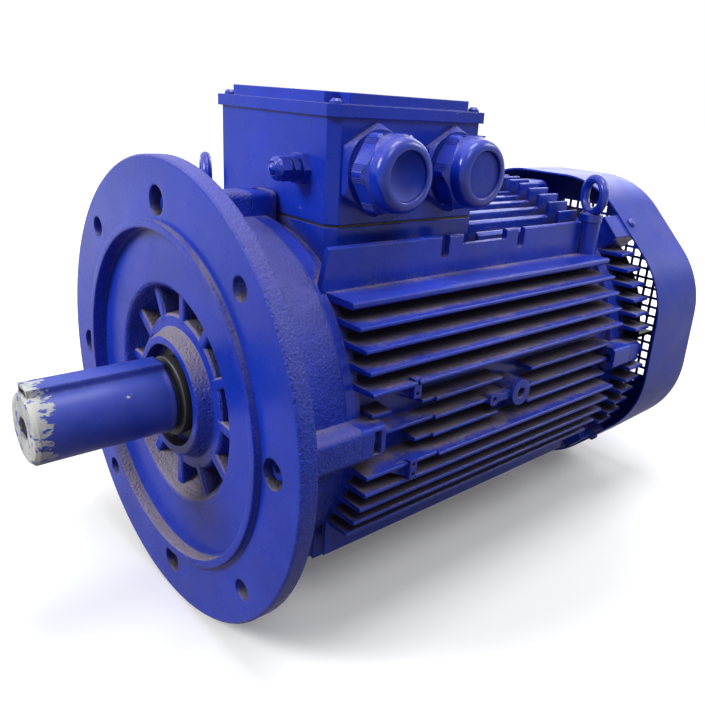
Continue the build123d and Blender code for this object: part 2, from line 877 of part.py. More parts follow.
def bearing_rings(y):
    """Outer and inner ring of a bearing whose front face is at y."""
    mean_r = (bearing_bore + bearing_od) / 4
    mid = y + bearing_w / 2
    groove = rod_ring(mean_r, ball_d / 2 + ball_gap, mid)
    outer = turned([
        (mean_r + ring_shoulder, y),
        (bearing_od / 2, y),
        (bearing_od / 2, y + bearing_w),
        (mean_r + ring_shoulder, y + bearing_w),
    ])
    inner = turned([
        (bearing_bore / 2, y),
        (mean_r - ring_shoulder, y),
        (mean_r - ring_shoulder, y + bearing_w),
        (bearing_bore / 2, y + bearing_w),
    ])
    return outer - groove, inner - groove


def rod_ring(mean_r, section_r, y):
    """Ring of round section about the shaft axis."""
    return Pos(0, y, 0) * Rot(90, 0, 0) * Torus(mean_r, section_r)


def bearing_balls(y):
    """Balls of a bearing whose front face is at y."""
    mean_r = (bearing_bore + bearing_od) / 4
    ball = Pos(mean_r, y + bearing_w / 2, 0) * Sphere(ball_d / 2)
    return set_of(around_shaft(ball, ball_count))


def bearing_cage(y):
    """Cage that keeps the balls apart."""
    mean_r = (bearing_bore + bearing_od) / 4
    mid = y + bearing_w / 2
    ring = rod_y(mean_r + cage_t / 2, mid - cage_w / 2, mid + cage_w / 2)
    ring = ring - rod_y(mean_r - cage_t / 2, mid - cage_w, mid + cage_w)
    pocket = Pos(mean_r, mid, 0) * Rot(0, 90, 0) * Cylinder(ball_d / 2 + cage_play, 4 * cage_t)
    return ring - around_shaft(pocket, ball_count)


def shaft_seal():
    """Radial seal in the drive-end shield, with its lip just off the shaft."""
    lip_r = bearing_bore / 2 + seal_play
    return turned([
        (lip_r, seal_y + 3),
        (lip_r + 3, seal_y),
        (seal_od / 2, seal_y),
        (seal_od / 2, seal_y + seal_w),
        (lip_r + 5, seal_y + seal_w),
        (lip_r + 5, seal_y + 5),
    ])


def inner_bearing_cap():
    """Cap that keeps the drive-end bearing in its housing from inside."""
    y = bearing_de_y + bearing_w
    bore_r = shoulder_d / 2 + inner_cap_play
    return turned([
        (bore_r, y),
        (inner_cap_d / 2, y),
        (inner_cap_d / 2, y + inner_cap_t),
        (bore_r, y + inner_cap_t),
    ])


def wave_spring():
    """Spring washer behind the outer ring of the fan-end bearing."""
    y = bearing_nde_y + bearing_w
    radius = bearing_od / 2 - thread_gap
    return turned([
        (radius - wave_spring_wall, y),
        (radius, y),
        (radius, y + wave_spring_t),
        (radius - wave_spring_wall, y + wave_spring_t),
    ])


def stator_core():
    """Stack of stator laminations pressed into the frame."""
    return turned([
        (stator_bore / 2, core_front),
        (core_d / 2, core_front),
        (core_d / 2, core_rear),
        (stator_bore / 2, core_rear),
    ])


def stator_windings():
    """Bound end turns of the winding at both ends of the core."""
    inner = stator_bore / 2 + winding_inner_gap
    outer = core_d / 2 - winding_outer_gap
    ends = []
    for face, way in ((core_front, -1), (core_rear, 1)):
        ends.append(turned([
            (inner, face),
            (outer, face),
            (outer, face + way * (winding_len - 8)),
            (outer - 6, face + way * winding_len),
            (inner + 8, face + way * winding_len),
            (inner + 2, face + way * (winding_len - 6)),
        ]))
    return set_of(ends)


def rotor_core():
    """Stack of rotor laminations on the shaft."""
    outer = stator_bore / 2 - air_gap
    return turned([
        (core_shaft_d / 2, core_front),
        (outer, core_front),
        (outer, core_rear),
        (core_shaft_d / 2, core_rear),
    ])


def rotor_cage_ends():
    """Cast end rings of the rotor cage with their cooling blades."""
    outer = stator_bore / 2 - air_gap - 3
    inner = outer - end_ring_wall
    ends = []
    for face, way in ((core_front, -1), (core_rear, 1)):
        tip = face + way * end_ring_t
        ring = turned([(inner, face), (outer, face), (outer, tip), (inner, tip)])
        low, high = sorted((tip, tip + way * blade_len))
        blade = block(inner + 2, outer - 6, low, high, -blade_t / 2, blade_t / 2)
        ends.append(ring + around_shaft(blade, blade_count))
    return set_of(ends)


def keyway():
    """Cutter for the keyway of the shaft extension."""
    y0 = -shaft_len + key_end_gap
    depth_z = shaft_d / 2 - key_seat
    return block(-key_w / 2, key_w / 2, y0, y0 + key_len, depth_z, shaft_d)


def shaft_bar():
    """Turned shaft with its keyway, centre thread and seats."""
    bearing_r = bearing_bore / 2
    de_seat_end = bearing_de_y + bearing_w
    fan_end = fan_front - v_ring_gap + fan_seat_len
    body = turned([
        (0, -shaft_len),
        (shaft_d / 2 - shaft_chamfer, -shaft_len),
        (shaft_d / 2, -shaft_len + shaft_chamfer),
        (shaft_d / 2, 0),
        (bearing_r, 0),
        (bearing_r, de_seat_end),
        (shoulder_d / 2, de_seat_end),
        (shoulder_d / 2, core_front),
        (core_shaft_d / 2, core_front),
        (core_shaft_d / 2, core_rear),
        (shoulder_d / 2, core_rear),
        (shoulder_d / 2, bearing_nde_y),
        (bearing_r, bearing_nde_y),
        (bearing_r, fan_front - v_ring_gap),
        (fan_seat_d / 2, fan_front - v_ring_gap),
        (fan_seat_d / 2, fan_end),
        (0, fan_end),
    ])
    centre = rod_y(centre_hole_d / 2, -shaft_len - 1, -shaft_len + centre_hole_depth)
    groove = rod_y(fan_seat_d / 2 + 1, fan_rear, fan_rear + circlip_t)
    groove = groove - rod_y(fan_seat_d / 2 - circlip_groove, fan_rear - 1, fan_rear + circlip_t + 1)
    return body - keyway() - centre - groove


def shaft_key():
    """Flat key of the shaft extension."""
    y0 = -shaft_len + key_end_gap
    low = shaft_d / 2 - key_seat
    return block(-key_w / 2, key_w / 2, y0, y0 + key_len, low, low + key_h)


def cooling_fan():
    """Fan with straight blades, so that it works in both directions of turning."""
    plate_y = fan_front + 4
    hub = rod_y(fan_hub_d / 2, fan_front, fan_rear)
    plate = rod_y(fan_d / 2, plate_y, plate_y + fan_plate_t)
    side = Polyline(
        (fan_blade_root_d / 2, plate_y + 1),
        (fan_d / 2, plate_y + 1),
        (fan_d / 2, plate_y + fan_blade_len),
        (fan_blade_root_d / 2, plate_y + fan_blade_len - 12),
        close=True,
    )
    blade = extrude(make_face(side), amount=fan_blade_t / 2, both=True)
    body = hub + plate + around_shaft(blade, fan_blade_count)
    return body - rod_y(fan_seat_d / 2, fan_front - 1, fan_rear + 1)


def circlip():
    """Retaining ring behind the fan hub."""
    return turned([
        (fan_seat_d / 2 - circlip_groove, fan_rear),
        (fan_seat_d / 2 + circlip_wall, fan_rear),
        (fan_seat_d / 2 + circlip_wall, fan_rear + circlip_t),
        (fan_seat_d / 2 - circlip_groove, fan_rear + circlip_t),
    ])


def v_ring():
    """Rubber ring on the shaft that seals the outside of the fan-end shield."""
    y = nde_end_y + v_ring_gap
    return turned([
        (bearing_bore / 2, y + 2),
        (v_ring_d / 2, y),
        (v_ring_d / 2, y + 1.5),
        (bearing_bore / 2 + 7, y + 3),
        (bearing_bore / 2 + 7, y + v_ring_w),
        (bearing_bore / 2, y + v_ring_w),
    ])


def drive_end_v_ring():
    """Rubber ring on the shaft just in front of the drive-end seal."""
    y = de_v_ring_set_back
    return turned([
        (bearing_bore / 2, y),
        (de_v_ring_d / 2 - 1, y),
        (de_v_ring_d / 2, y + 1),
        (de_v_ring_d / 2, y + de_v_ring_w),
        (bearing_bore / 2, y + de_v_ring_w),
    ])


def protective_sleeve():
    """Plastic sleeve pushed over the shaft extension, with a channel for the key and a holed end."""
    inner_r = shaft_d / 2 + sleeve_play
    outer_r = inner_r + sleeve_wall
    tip_y = -shaft_len - sleeve_play - sleeve_end_t
    key_top = shaft_d / 2 - key_seat + key_h + sleeve_play
    key_half = key_w / 2 + sleeve_play
    outer = turned([
        (0, tip_y),
        (outer_r - 3, tip_y),
        (outer_r, tip_y + 3),
        (outer_r, sleeve_inner_y - 2),
        (outer_r + sleeve_lip, sleeve_inner_y - 2),
        (outer_r + sleeve_lip, sleeve_inner_y),
        (0, sleeve_inner_y),
    ])
    ridge_half = key_half + sleeve_wall
    ridge = block(-ridge_half, ridge_half, tip_y + 2, sleeve_inner_y, 0, key_top + sleeve_wall)
    bore = rod_y(inner_r, -shaft_len - sleeve_play, sleeve_inner_y + 1)
    channel = block(-key_half, key_half, -shaft_len - sleeve_play, sleeve_inner_y + 1, 0, key_top)
    hole = rod_y(sleeve_hole_d / 2, tip_y - 1, -shaft_len)
    return outer + ridge - bore - channel - hole


def terminal_box():
    """Cast terminal box, open at the top, with holes for the glands and posts for the lid screws."""
    plan = Pos(0, box_mid_y) * Rectangle(box_x, box_y)
    plan = chamfer(plan.vertices(), box_corner)
    room = Pos(0, box_mid_y) * Rectangle(box_x - 2 * box_wall, box_y - 2 * box_wall)
    room = chamfer(room.vertices(), box_room_corner)
    body = extrude(Plane.XY.offset(box_base_z) * plan, amount=box_h)
    body = body - extrude(Plane.XY.offset(box_base_z + box_floor) * room, amount=box_h)
    post = Cylinder(lid_post_d / 2, lid_post_len)
    whole = extrude(Plane.XY.offset(box_base_z) * plan, amount=box_h)
    posts = [Pos(x, y, box_top - lid_post_len / 2) * post & whole for x, y in lid_screw_places()]
    body = body + posts
    x = box_opening_x / 2
    y = box_opening_y / 2
    body = body - block(-x, x, box_mid_y - y, box_mid_y + y, box_base_z - 1, box_base_z + box_floor + 1)
    tap = Cylinder(lid_screw_d / 2 + thread_gap, 2 * lid_tap_depth)
    body = body - [Pos(x, y, box_top) * tap for x, y in lid_screw_places()]
    pass_hole = Cylinder(box_screw_d / 2 + screw_play / 2, 4 * box_floor)
    body = body - [Pos(x, y, box_base_z) * pass_hole for x, y in box_screw_places()]
    for place in gland_places():
        body = body - place * Cylinder(gland_thread_d / 2 + thread_gap, 4 * box_wall)
    return body - small_gland_place() * Cylinder(small_thread_d / 2 + thread_gap, 4 * box_wall)


def lid_screw_places():
    """Corners where the lid is screwed down."""
    x = box_x / 2 + lid_overhang - lid_screw_inset
    y = box_y / 2 + lid_overhang - lid_screw_inset
    return [(i * x, box_mid_y + j * y) for i in (-1, 1) for j in (-1, 1)]


def gasket_ring(z, thickness, open_x, open_y, holes, hole_d):
    """Flat gasket of the box's outline with an opening and screw holes."""
    plan = Pos(0, box_mid_y) * Rectangle(box_x - 1, box_y - 1)
    plan = chamfer(plan.vertices(), box_corner)
    plan = plan - Pos(0, box_mid_y) * Rectangle(open_x, open_y)
    for x, y in holes:
        plan = plan - Pos(x, y) * Circle(hole_d / 2)
    return extrude(Plane.XY.offset(z) * plan, amount=thickness)


def base_gasket():
    """Gasket between the terminal box and its seat on the frame."""
    hole_d = box_screw_d + screw_play
    return gasket_ring(turret_top, base_gasket_t, box_opening_x, box_opening_y, box_screw_places(), hole_d)


def lid_gasket():
    """Gasket under the lid."""
    open_x = box_x - 2 * (box_wall + lid_gasket_lap)
    open_y = box_y - 2 * (box_wall + lid_gasket_lap)
    return gasket_ring(box_top, lid_gasket_t, open_x, open_y, lid_screw_places(), lid_screw_d + screw_play)


def box_lid():
    """Lid with a turned-down rim and a raised middle that leaves the corners free for the screws."""
    rim_x = box_x + 2 * lid_overhang
    rim_y = box_y + 2 * lid_overhang
    skirt_low = box_top - lid_skirt
    rim = Pos(0, box_mid_y) * Rectangle(rim_x, rim_y)
    rim = chamfer(rim.vertices(), box_corner)
    room = Pos(0, box_mid_y) * Rectangle(box_x + 2 * lid_play, box_y + 2 * lid_play)
    room = chamfer(room.vertices(), box_corner)
    body = extrude(Plane.XY.offset(skirt_low) * rim, amount=lid_top - skirt_low)
    body = body - extrude(Plane.XY.offset(skirt_low - 1) * room, amount=lid_skirt + lid_gasket_t + 1)
    body = body + raised_plan(0, lid_top - 1, plateau_h + 1)
    body = body - raised_plan(lid_t, lid_top - lid_t - 1, plateau_h + 1)
    hole = Cylinder(lid_screw_d / 2 + screw_play / 2, 6 * lid_t)
    return body - [Pos(x, y, lid_top) * hole for x, y in lid_screw_places()]


def raised_plan(inset, z, height):
    """Raised middle of the lid, drawn a given distance inside its outer faces."""
    x = box_x / 2 + lid_overhang - plateau_inset - inset
    y = box_y / 2 + lid_overhang - plateau_inset - inset
    plan = Pos(0, box_mid_y) * Rectangle(2 * x, 2 * y)
    corner = Rectangle(2 * plateau_notch, 2 * plateau_notch)
    for i in (-1, 1):
        for j in (-1, 1):
            edge_x = box_x / 2 + lid_overhang - plateau_inset
            edge_y = box_y / 2 + lid_overhang - plateau_inset
            grow = Rectangle(2 * (plateau_notch + inset), 2 * (plateau_notch + inset)) if inset else corner
            plan = plan - Pos(i * edge_x, box_mid_y + j * edge_y) * grow
    return extrude(Plane.XY.offset(z) * plan, amount=height)


def pan_screw(head_d, head_h, shank_d, length):
    """Screw along local Z with its shank below the head's seat at z = 0."""
    profile = [
        (0, head_h),
        (head_d / 2 - 2, head_h),
        (head_d / 2, head_h - 2),
        (head_d / 2, 0),
        (shank_d / 2, 0),
        (shank_d / 2, -length),
        (0, -length),
    ]
    return turned_z(profile)


def lid_screws():
    """Four screws of the terminal box lid."""
    screw = pan_screw(lid_screw_head_d, lid_screw_head_h, lid_screw_d, lid_screw_len)
    return set_of([Pos(x, y, lid_top) * screw for x, y in lid_screw_places()])


def box_screws():
    """Four screws that hold the terminal box to the frame."""
    screw = pan_screw(box_screw_head_d, box_screw_head_h, box_screw_d, box_screw_len)
    z = box_base_z + box_floor
    return set_of([Pos(x, y, z) * screw for x, y in box_screw_places()])


def socket_screw(length):
    """Socket-head screw along local Z with its shank below the head's seat at z = 0."""
    head = Pos(0, 0, shield_screw_head_h / 2) * Cylinder(shield_screw_head_d / 2, shield_screw_head_h)
    shank = Pos(0, 0, -length / 2) * Cylinder(shield_screw_d / 2, length)
    depth = shield_screw_head_h / 2
    socket = extrude(Plane.XY.offset(shield_screw_head_h - depth) * hexagon(shield_screw_socket), amount=depth)
    return head + shank - socket


def shield_screws(seat_y, way, length):
    """Four screws through a shield into the frame, with heads towards way times -Y."""
    screw = Pos(shield_screw_pcd / 2, seat_y, 0) * Rot(90 * way, 0, 0) * socket_screw(length)
    return set_of(around_shaft(screw, shield_screw_count))


def cover_screws():
    """Four screws of the fan cover."""
    screw = pan_screw(cover_screw_head_d, cover_screw_head_h, cover_screw_d, cover_screw_len)
    screw = Pos(cover_flats / 2, joint_nde + cover_screw_y, arm_shift) * Rot(0, 90, 0) * screw
    return set_of(on_slanted_flats(screw))


def stud_places():
    """Places of the six terminal studs."""
    places = []
    for i in (-1, 0, 1):
        for j in (-0.5, 0.5):
            places.append((i * stud_pitch_x, box_mid_y + j * stud_row_gap))
    return places


def board_base_z():
    """Underside of the terminal board."""
    return box_base_z + box_floor + board_lift


def terminal_board():
    """Moulded board on two feet that carries the terminal studs."""
    z = board_base_z()
    body = Pos(0, box_mid_y, z + board_t / 2) * Box(board_x, board_y, board_t)
    for i in (-1, 0):
        x = (i + 0.5) * stud_pitch_x
        wall = Pos(x, box_mid_y, z + board_t + 4) * Box(3, board_y - 8, 10)
        body = body + wall
    rail = block(-board_x / 2 - board_rail_reach, board_x / 2 + board_rail_reach, box_mid_y - 6, box_mid_y + 6, z, z + 5)
    body = body + rail
    for i in (-1, 1):
        x = i * (board_x / 2 + 9)
        low = box_base_z + box_floor
        body = body + Pos(x, box_mid_y, low + board_lift / 2) * Cylinder(board_foot_d / 2, board_lift)
    hole = Cylinder(stud_d / 2, 4 * board_t)
    return body - [Pos(x, y, z) * hole for x, y in stud_places()]


def terminal_studs():
    """Six brass studs, each with its nut."""
    z = board_base_z()
    stud = Pos(0, 0, z + stud_len / 2 + 2) * Cylinder(stud_d / 2, stud_len)
    nut_z = z + board_t + link_t
    nut = extrude(Plane.XY.offset(nut_z) * hexagon(nut_af), amount=nut_h)
    return set_of([Pos(x, y, 0) * (stud + nut) for x, y in stud_places()])


def terminal_links():
    """Three brass links that join each pair of studs."""
    z = board_base_z() + board_t
    links = []
    for i in (-1, 0, 1):
        x = i * stud_pitch_x
        reach = stud_row_gap / 2 + link_w / 2
        bar = block(x - link_w / 2, x + link_w / 2, box_mid_y - reach, box_mid_y + reach, z, z + link_t)
        for j in (-0.5, 0.5):
            hole = Cylinder(stud_d / 2, 6 * link_t)
            bar = bar - Pos(x, box_mid_y + j * stud_row_gap, z) * hole
        links.append(bar)
    return set_of(links)


def earth_screw():
    """Earthing screw with its clamp washer on the floor of the terminal box."""
    z = box_base_z + box_floor
    washer = Pos(0, 0, z + 1) * Cylinder(8, 2)
    head = extrude(Plane.XY.offset(z + 2) * hexagon(nut_af), amount=nut_h)
    return Pos(earth_x, box_mid_y + earth_y, 0) * (washer + head)


def gland_places():
    """Frames of the two large glands, with local Z pointing out of the box wall."""
    ys = [box_mid_y - gland_pitch / 2, box_mid_y + gland_pitch / 2]
    return [Pos(gland_face_x, y, gland_z) * Rot(0, 90, 0) for y in ys]


def small_gland_place():
    """Frame of the small gland, with local Z pointing out of the front wall."""
    return Pos(small_x, box_front_y, small_z) * Rot(90, 0, 0)


def gland_body():
    """Threaded body with its hexagon flange, along local Z from the wall at z = 0."""
    flange = extrude(hexagon(gland_af), amount=gland_flange_t)
    chamfered = turned_z([
        (0, 0),
        (gland_af / 2 + 4.5, 0),
        (gland_af / 2 + 4.5, gland_flange_t - 3),
        (gland_af / 2 + 0.5, gland_flange_t),
        (0, gland_flange_t),
    ])
    thread_low = -box_wall - gland_inner_len
    neck_top = gland_flange_t + gland_neck_len + gland_nut_hex_len - 3
    core = turned_z([
        (0, thread_low),
        (gland_thread_d / 2, thread_low),
        (gland_thread_d / 2, gland_flange_t / 2),
        (gland_neck_d / 2, gland_flange_t / 2),
        (gland_neck_d / 2, neck_top),
        (0, neck_top),
    ])
    bore = Pos(0, 0, neck_top / 2) * Cylinder(gland_bore_d / 2, 4 * neck_top)
    return (flange & chamfered) + core - bore


def gland_nut():
    """Domed cap nut of a large gland, along local Z."""
    z0 = gland_flange_t + gland_neck_len
    z1 = z0 + gland_nut_hex_len
    z2 = z1 + gland_dome_len
    dome_r = gland_dome_d / 2
    mouth_r = gland_mouth_d / 2
    hexed = Rot(0, 0, 30) * extrude(Plane.XY.offset(z0) * hexagon(gland_nut_af), amount=z1 - z0)
    limit = turned_z([
        (0, z0),
        (gland_nut_af / 2 + 1, z0),
        (gland_nut_af / 2 + 4, z0 + 2),
        (gland_nut_af / 2 + 4, z1 - 5),
        (dome_r, z1),
        (0, z1),
    ])
    outer_y = z2 - gland_dome_round
    inner_y = z2 - gland_mouth_round
    slant = math.sqrt(0.5)
    crest_r = dome_r - gland_dome_round
    dome_side = Polyline((mouth_r, z1 - 1), (dome_r, z1 - 1), (dome_r, outer_y))
    outer_mid = (crest_r + gland_dome_round * slant, outer_y + gland_dome_round * slant)
    dome_top = ThreePointArc((dome_r, outer_y), outer_mid, (crest_r, z2))
    lip_r = mouth_r + gland_mouth_round
    crest = Line((crest_r, z2), (lip_r, z2))
    inner_mid = (lip_r - gland_mouth_round * slant, inner_y + gland_mouth_round * slant)
    dome_lip = ThreePointArc((lip_r, z2), inner_mid, (mouth_r, inner_y))
    dome_back = Line((mouth_r, inner_y), (mouth_r, z1 - 1))
    dome = revolve(Plane.XZ * make_face([dome_side, dome_top, crest, dome_lip, dome_back]), Axis.Z)
    hollow = turned_z([
        (0, z0 - 1),
        (gland_neck_d / 2 + thread_gap, z0 - 1),
        (gland_neck_d / 2 + thread_gap, z1 - 2),
        (gland_bore_d / 2, z1 + 4),
        (mouth_r, z1 + 4),
        (0, z1 + 4),
    ])
    through = Pos(0, 0, z1) * Cylinder(mouth_r, 2 * (z2 - z0))
    return (hexed & limit) + dome - hollow - through


def gland_plug(dished):
    """Blanking plug in the mouth of a large gland, flat or dished."""
    z2 = gland_flange_t + gland_neck_len + gland_nut_hex_len + gland_dome_len - plug_set_back
    radius = gland_mouth_d / 2 - plug_play
    wide = gland_bore_d / 2 - plug_play
    z1 = z2 - plug_t
    base = gland_flange_t + gland_neck_len + gland_nut_hex_len - 2
    plug = turned_z([(0, base - 6), (wide, base - 6), (wide, base), (radius, z1), (radius, z2), (0, z2)])
    if dished:
        bowl_r = (radius ** 2 + dish_depth ** 2) / (2 * dish_depth)
        plug = plug - Pos(0, 0, z2 + bowl_r - dish_depth) * Sphere(bowl_r)
    return plug


def gland_locknut():
    """Thin hexagon nut inside the box wall."""
    nut = extrude(hexagon(locknut_af), amount=locknut_t)
    hole = Cylinder(gland_thread_d / 2 + thread_gap, 4 * locknut_t)
    return Pos(0, 0, -box_wall - locknut_t) * (nut - hole)


def small_levels():
    """Heights along the small gland where one piece ends and the next begins."""
    neck = small_flange_t + small_neck_len
    body = neck + small_body_t
    nut = body + small_neck_len
    return neck, body, nut


def small_gland_body():
    """Body of the small gland with its flange and its spanner hexagon, along local Z."""
    neck, body_top, nut_low = small_levels()
    thread_low = -box_wall - small_inner_len
    flange = extrude(hexagon(small_flange_af), amount=small_flange_t)
    spanner = extrude(Plane.XY.offset(neck) * hexagon(small_body_af), amount=small_body_t)
    core = turned_z([
        (0, thread_low),
        (small_thread_d / 2, thread_low),
        (small_thread_d / 2, small_flange_t / 2),
        (small_neck_d / 2, small_flange_t / 2),
        (small_neck_d / 2, nut_low + small_nut_len / 2),
        (0, nut_low + small_nut_len / 2),
    ])
    bore = Cylinder(small_bore_d / 2, 20 * small_nut_len)
    return flange + spanner + core - bore


def small_gland_nut():
    """Domed cap nut of the small gland."""
    neck, body_top, nut_low = small_levels()
    hex_top = nut_low + small_nut_len
    dome_top = hex_top + small_dome_len
    hexed = extrude(Plane.XY.offset(nut_low) * hexagon(small_nut_af), amount=small_nut_len)
    dome = turned_z([
        (0, hex_top - 1),
        (small_nut_af / 2, hex_top - 1),
        (small_nut_af / 2, hex_top),
        (small_nut_af / 2 - 1, hex_top + small_dome_len / 2),
        (small_bore_d / 2 + 0.6, dome_top),
        (0, dome_top),
    ])
    hollow = Pos(0, 0, nut_low) * Cylinder(small_neck_d / 2 + thread_gap, small_nut_len + 1)
    through = Pos(0, 0, nut_low) * Cylinder(small_bore_d / 2, 6 * small_nut_len)
    return hexed + dome - hollow - through


def small_gland_plug():
    """Round-nosed plug in the small gland."""
    neck, body_top, nut_low = small_levels()
    radius = ball_plug_d / 2
    tip = nut_low + small_nut_len + small_dome_len + ball_plug_reach
    ball = Pos(0, 0, tip - radius) * Sphere(radius)
    stem = Pos(0, 0, tip - radius - ball_plug_len / 2) * Cylinder(radius, ball_plug_len)
    return ball + stem


def small_gland_locknut():
    """Locknut of the small gland inside the box."""
    nut = extrude(hexagon(small_locknut_af), amount=small_locknut_t)
    hole = Cylinder(small_thread_d / 2 + thread_gap, 4 * small_locknut_t)
    return Pos(0, 0, -box_wall - small_locknut_t) * (nut - hole)


def eyebolt(place):
    """Forged eyebolt that stands on a lifting post, with its eye seen along the shaft."""
    ring = Pos(0, 0, eye_centre_h) * Rot(90, 0, 0) * Torus(eye_mean_r, eye_wire_d / 2)
    collar = Pos(0, 0, eye_collar_h / 2) * Cylinder(eye_collar_d / 2, eye_collar_h)
    neck = turned_z([
        (0, eye_collar_h - 1),
        (eye_collar_d / 2 - 2, eye_collar_h - 1),
        (eye_wire_d / 2, eye_centre_h - eye_mean_r),
        (0, eye_centre_h - eye_mean_r),
    ])
    shank = Pos(0, 0, -eye_shank_len / 2) * Cylinder(eye_shank_d / 2, eye_shank_len)
    return Pos(place[0], place[1], post_top_z) * Rot(0, 0, eye_turn) * (ring + collar + neck + shank)


def all_nodes():
    """Every sub-part of the motor by its node name."""
    outer_de, inner_de = bearing_rings(bearing_de_y)
    outer_nde, inner_nde = bearing_rings(bearing_nde_y)
    large = gland_places()
    small = small_gland_place()
    eye_rear, eye_front = eyebolt_places()
    return {
        "frame": finned_frame(),
        "de_shield": drive_end_shield(),
        "nde_shield": nde_shield(),
        "fan_cover": fan_cover(),
        "fan_grille": fan_grille(),
        "cover_screws": cover_screws(),
        "de_shield_screws": shield_screws(de_screw_seat_y, 1, de_screw_len),
        "nde_shield_screws": shield_screws(joint_nde + nde_lug_t, -1, nde_screw_len),
        "de_bearing_outer": outer_de,
        "nde_bearing_outer": outer_nde,
        "de_bearing_cap": inner_bearing_cap(),
        "de_shaft_seal": shaft_seal(),
        "nde_wave_spring": wave_spring(),
        "stator_core": stator_core(),
        "stator_windings": stator_windings(),
        "terminal_box": terminal_box(),
        "base_gasket": base_gasket(),
        "lid_gasket": lid_gasket(),
        "box_lid": box_lid(),
        "lid_screws": lid_screws(),
        "box_screws": box_screws(),
        "terminal_board": terminal_board(),
        "terminal_studs": terminal_studs(),
        "terminal_links": terminal_links(),
        "earth_screw": earth_screw(),
        "gland_bodies": set_of([place * gland_body() for place in large]),
        "gland_nuts": set_of([place * gland_nut() for place in large]),
        "gland_locknuts": set_of([place * gland_locknut() for place in large]),
        "gland_plug_dished": large[0] * gland_plug(True),
        "gland_plug_flat": large[1] * gland_plug(False),
        "small_gland_body": small * small_gland_body(),
        "small_gland_nut": small * small_gland_nut(),
        "small_gland_plug": small * small_gland_plug(),
        "small_gland_locknut": small * small_gland_locknut(),
        "eyebolt_rear": eyebolt(eye_rear),
        "eyebolt_front": eyebolt(eye_front),
        "shaft": shaft_bar(),
        "shaft_key": shaft_key(),
        "de_bearing_inner": inner_de,
        "nde_bearing_inner": inner_nde,
        "rotor_core": rotor_core(),
        "rotor_cage_ends": rotor_cage_ends(),
        "cooling_fan": cooling_fan(),
        "fan_circlip": circlip(),
        "nde_v_ring": v_ring(),
        "de_v_ring": drive_end_v_ring(),
        "de_bearing_balls": bearing_balls(bearing_de_y),
        "de_bearing_cage": bearing_cage(bearing_de_y),
        "nde_bearing_balls": bearing_balls(bearing_nde_y),
        "nde_bearing_cage": bearing_cage(bearing_nde_y),
        "shaft_sleeve": protective_sleeve(),
    }


os.makedirs("parts", exist_ok=True)
for name, shape in all_nodes().items():
    export_step(shape, f"parts/{name}.step")
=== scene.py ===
"""Dressed model of a flange-mounted three-phase induction motor.

Lengths are metres, apart from fields that a docstring gives in millimetres. The shaft axis is Y, the
driven end points along -Y, +Z is up, and the origin is the centre of the flange's mounting face.
Each sub-assembly is a class that builds or dresses its own pieces.
"""

from __future__ import annotations

import json
import logging
import math
from dataclasses import dataclass, field
from enum import Enum
from typing import Sequence

import bmesh
import bpy
from mathutils import Matrix, Vector

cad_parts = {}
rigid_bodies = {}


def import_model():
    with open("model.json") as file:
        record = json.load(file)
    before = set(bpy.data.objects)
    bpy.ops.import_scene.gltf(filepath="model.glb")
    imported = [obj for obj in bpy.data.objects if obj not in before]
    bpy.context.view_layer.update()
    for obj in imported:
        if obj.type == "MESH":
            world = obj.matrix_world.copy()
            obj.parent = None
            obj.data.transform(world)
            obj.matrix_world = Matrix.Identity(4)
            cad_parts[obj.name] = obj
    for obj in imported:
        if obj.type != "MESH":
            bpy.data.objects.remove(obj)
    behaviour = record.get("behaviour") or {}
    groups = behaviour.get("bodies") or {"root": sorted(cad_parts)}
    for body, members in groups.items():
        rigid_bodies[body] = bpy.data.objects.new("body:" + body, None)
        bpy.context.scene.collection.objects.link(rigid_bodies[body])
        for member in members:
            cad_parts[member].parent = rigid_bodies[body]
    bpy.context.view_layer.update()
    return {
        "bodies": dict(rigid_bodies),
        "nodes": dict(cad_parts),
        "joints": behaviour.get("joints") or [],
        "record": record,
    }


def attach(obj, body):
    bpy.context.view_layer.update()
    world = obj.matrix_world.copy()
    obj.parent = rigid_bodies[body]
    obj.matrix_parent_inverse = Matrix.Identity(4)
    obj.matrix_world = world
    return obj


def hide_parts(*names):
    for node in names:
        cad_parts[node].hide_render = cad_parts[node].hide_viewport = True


LOG = logging.getLogger("motor")
MM = 0.001
Socket = bpy.types.NodeSocket
Colour = tuple[float, float, float]
Point = tuple[float, float, float]
Band = tuple[float, float]
WHITE: Colour = (1.0, 1.0, 1.0)
BLACK: Colour = (0.0, 0.0, 0.0)
MIDTONES: Band = (0.3, 0.7)


class Body(Enum):
    """Rigid bodies that new pieces ride on."""

    STATOR = "stator"


class Slot(Enum):
    """Material slots of the record; new pieces are given one, but nothing reads it."""

    BLUE_PAINT = "blue_paint"
    COVER_PAINT = "blue_cover_paint"


class SocketKind(Enum):
    """Kinds of input and output that the node groups have."""

    FLOAT = "NodeSocketFloat"
    COLOUR = "NodeSocketColor"
    VECTOR = "NodeSocketVector"


# ---- shader building blocks ----


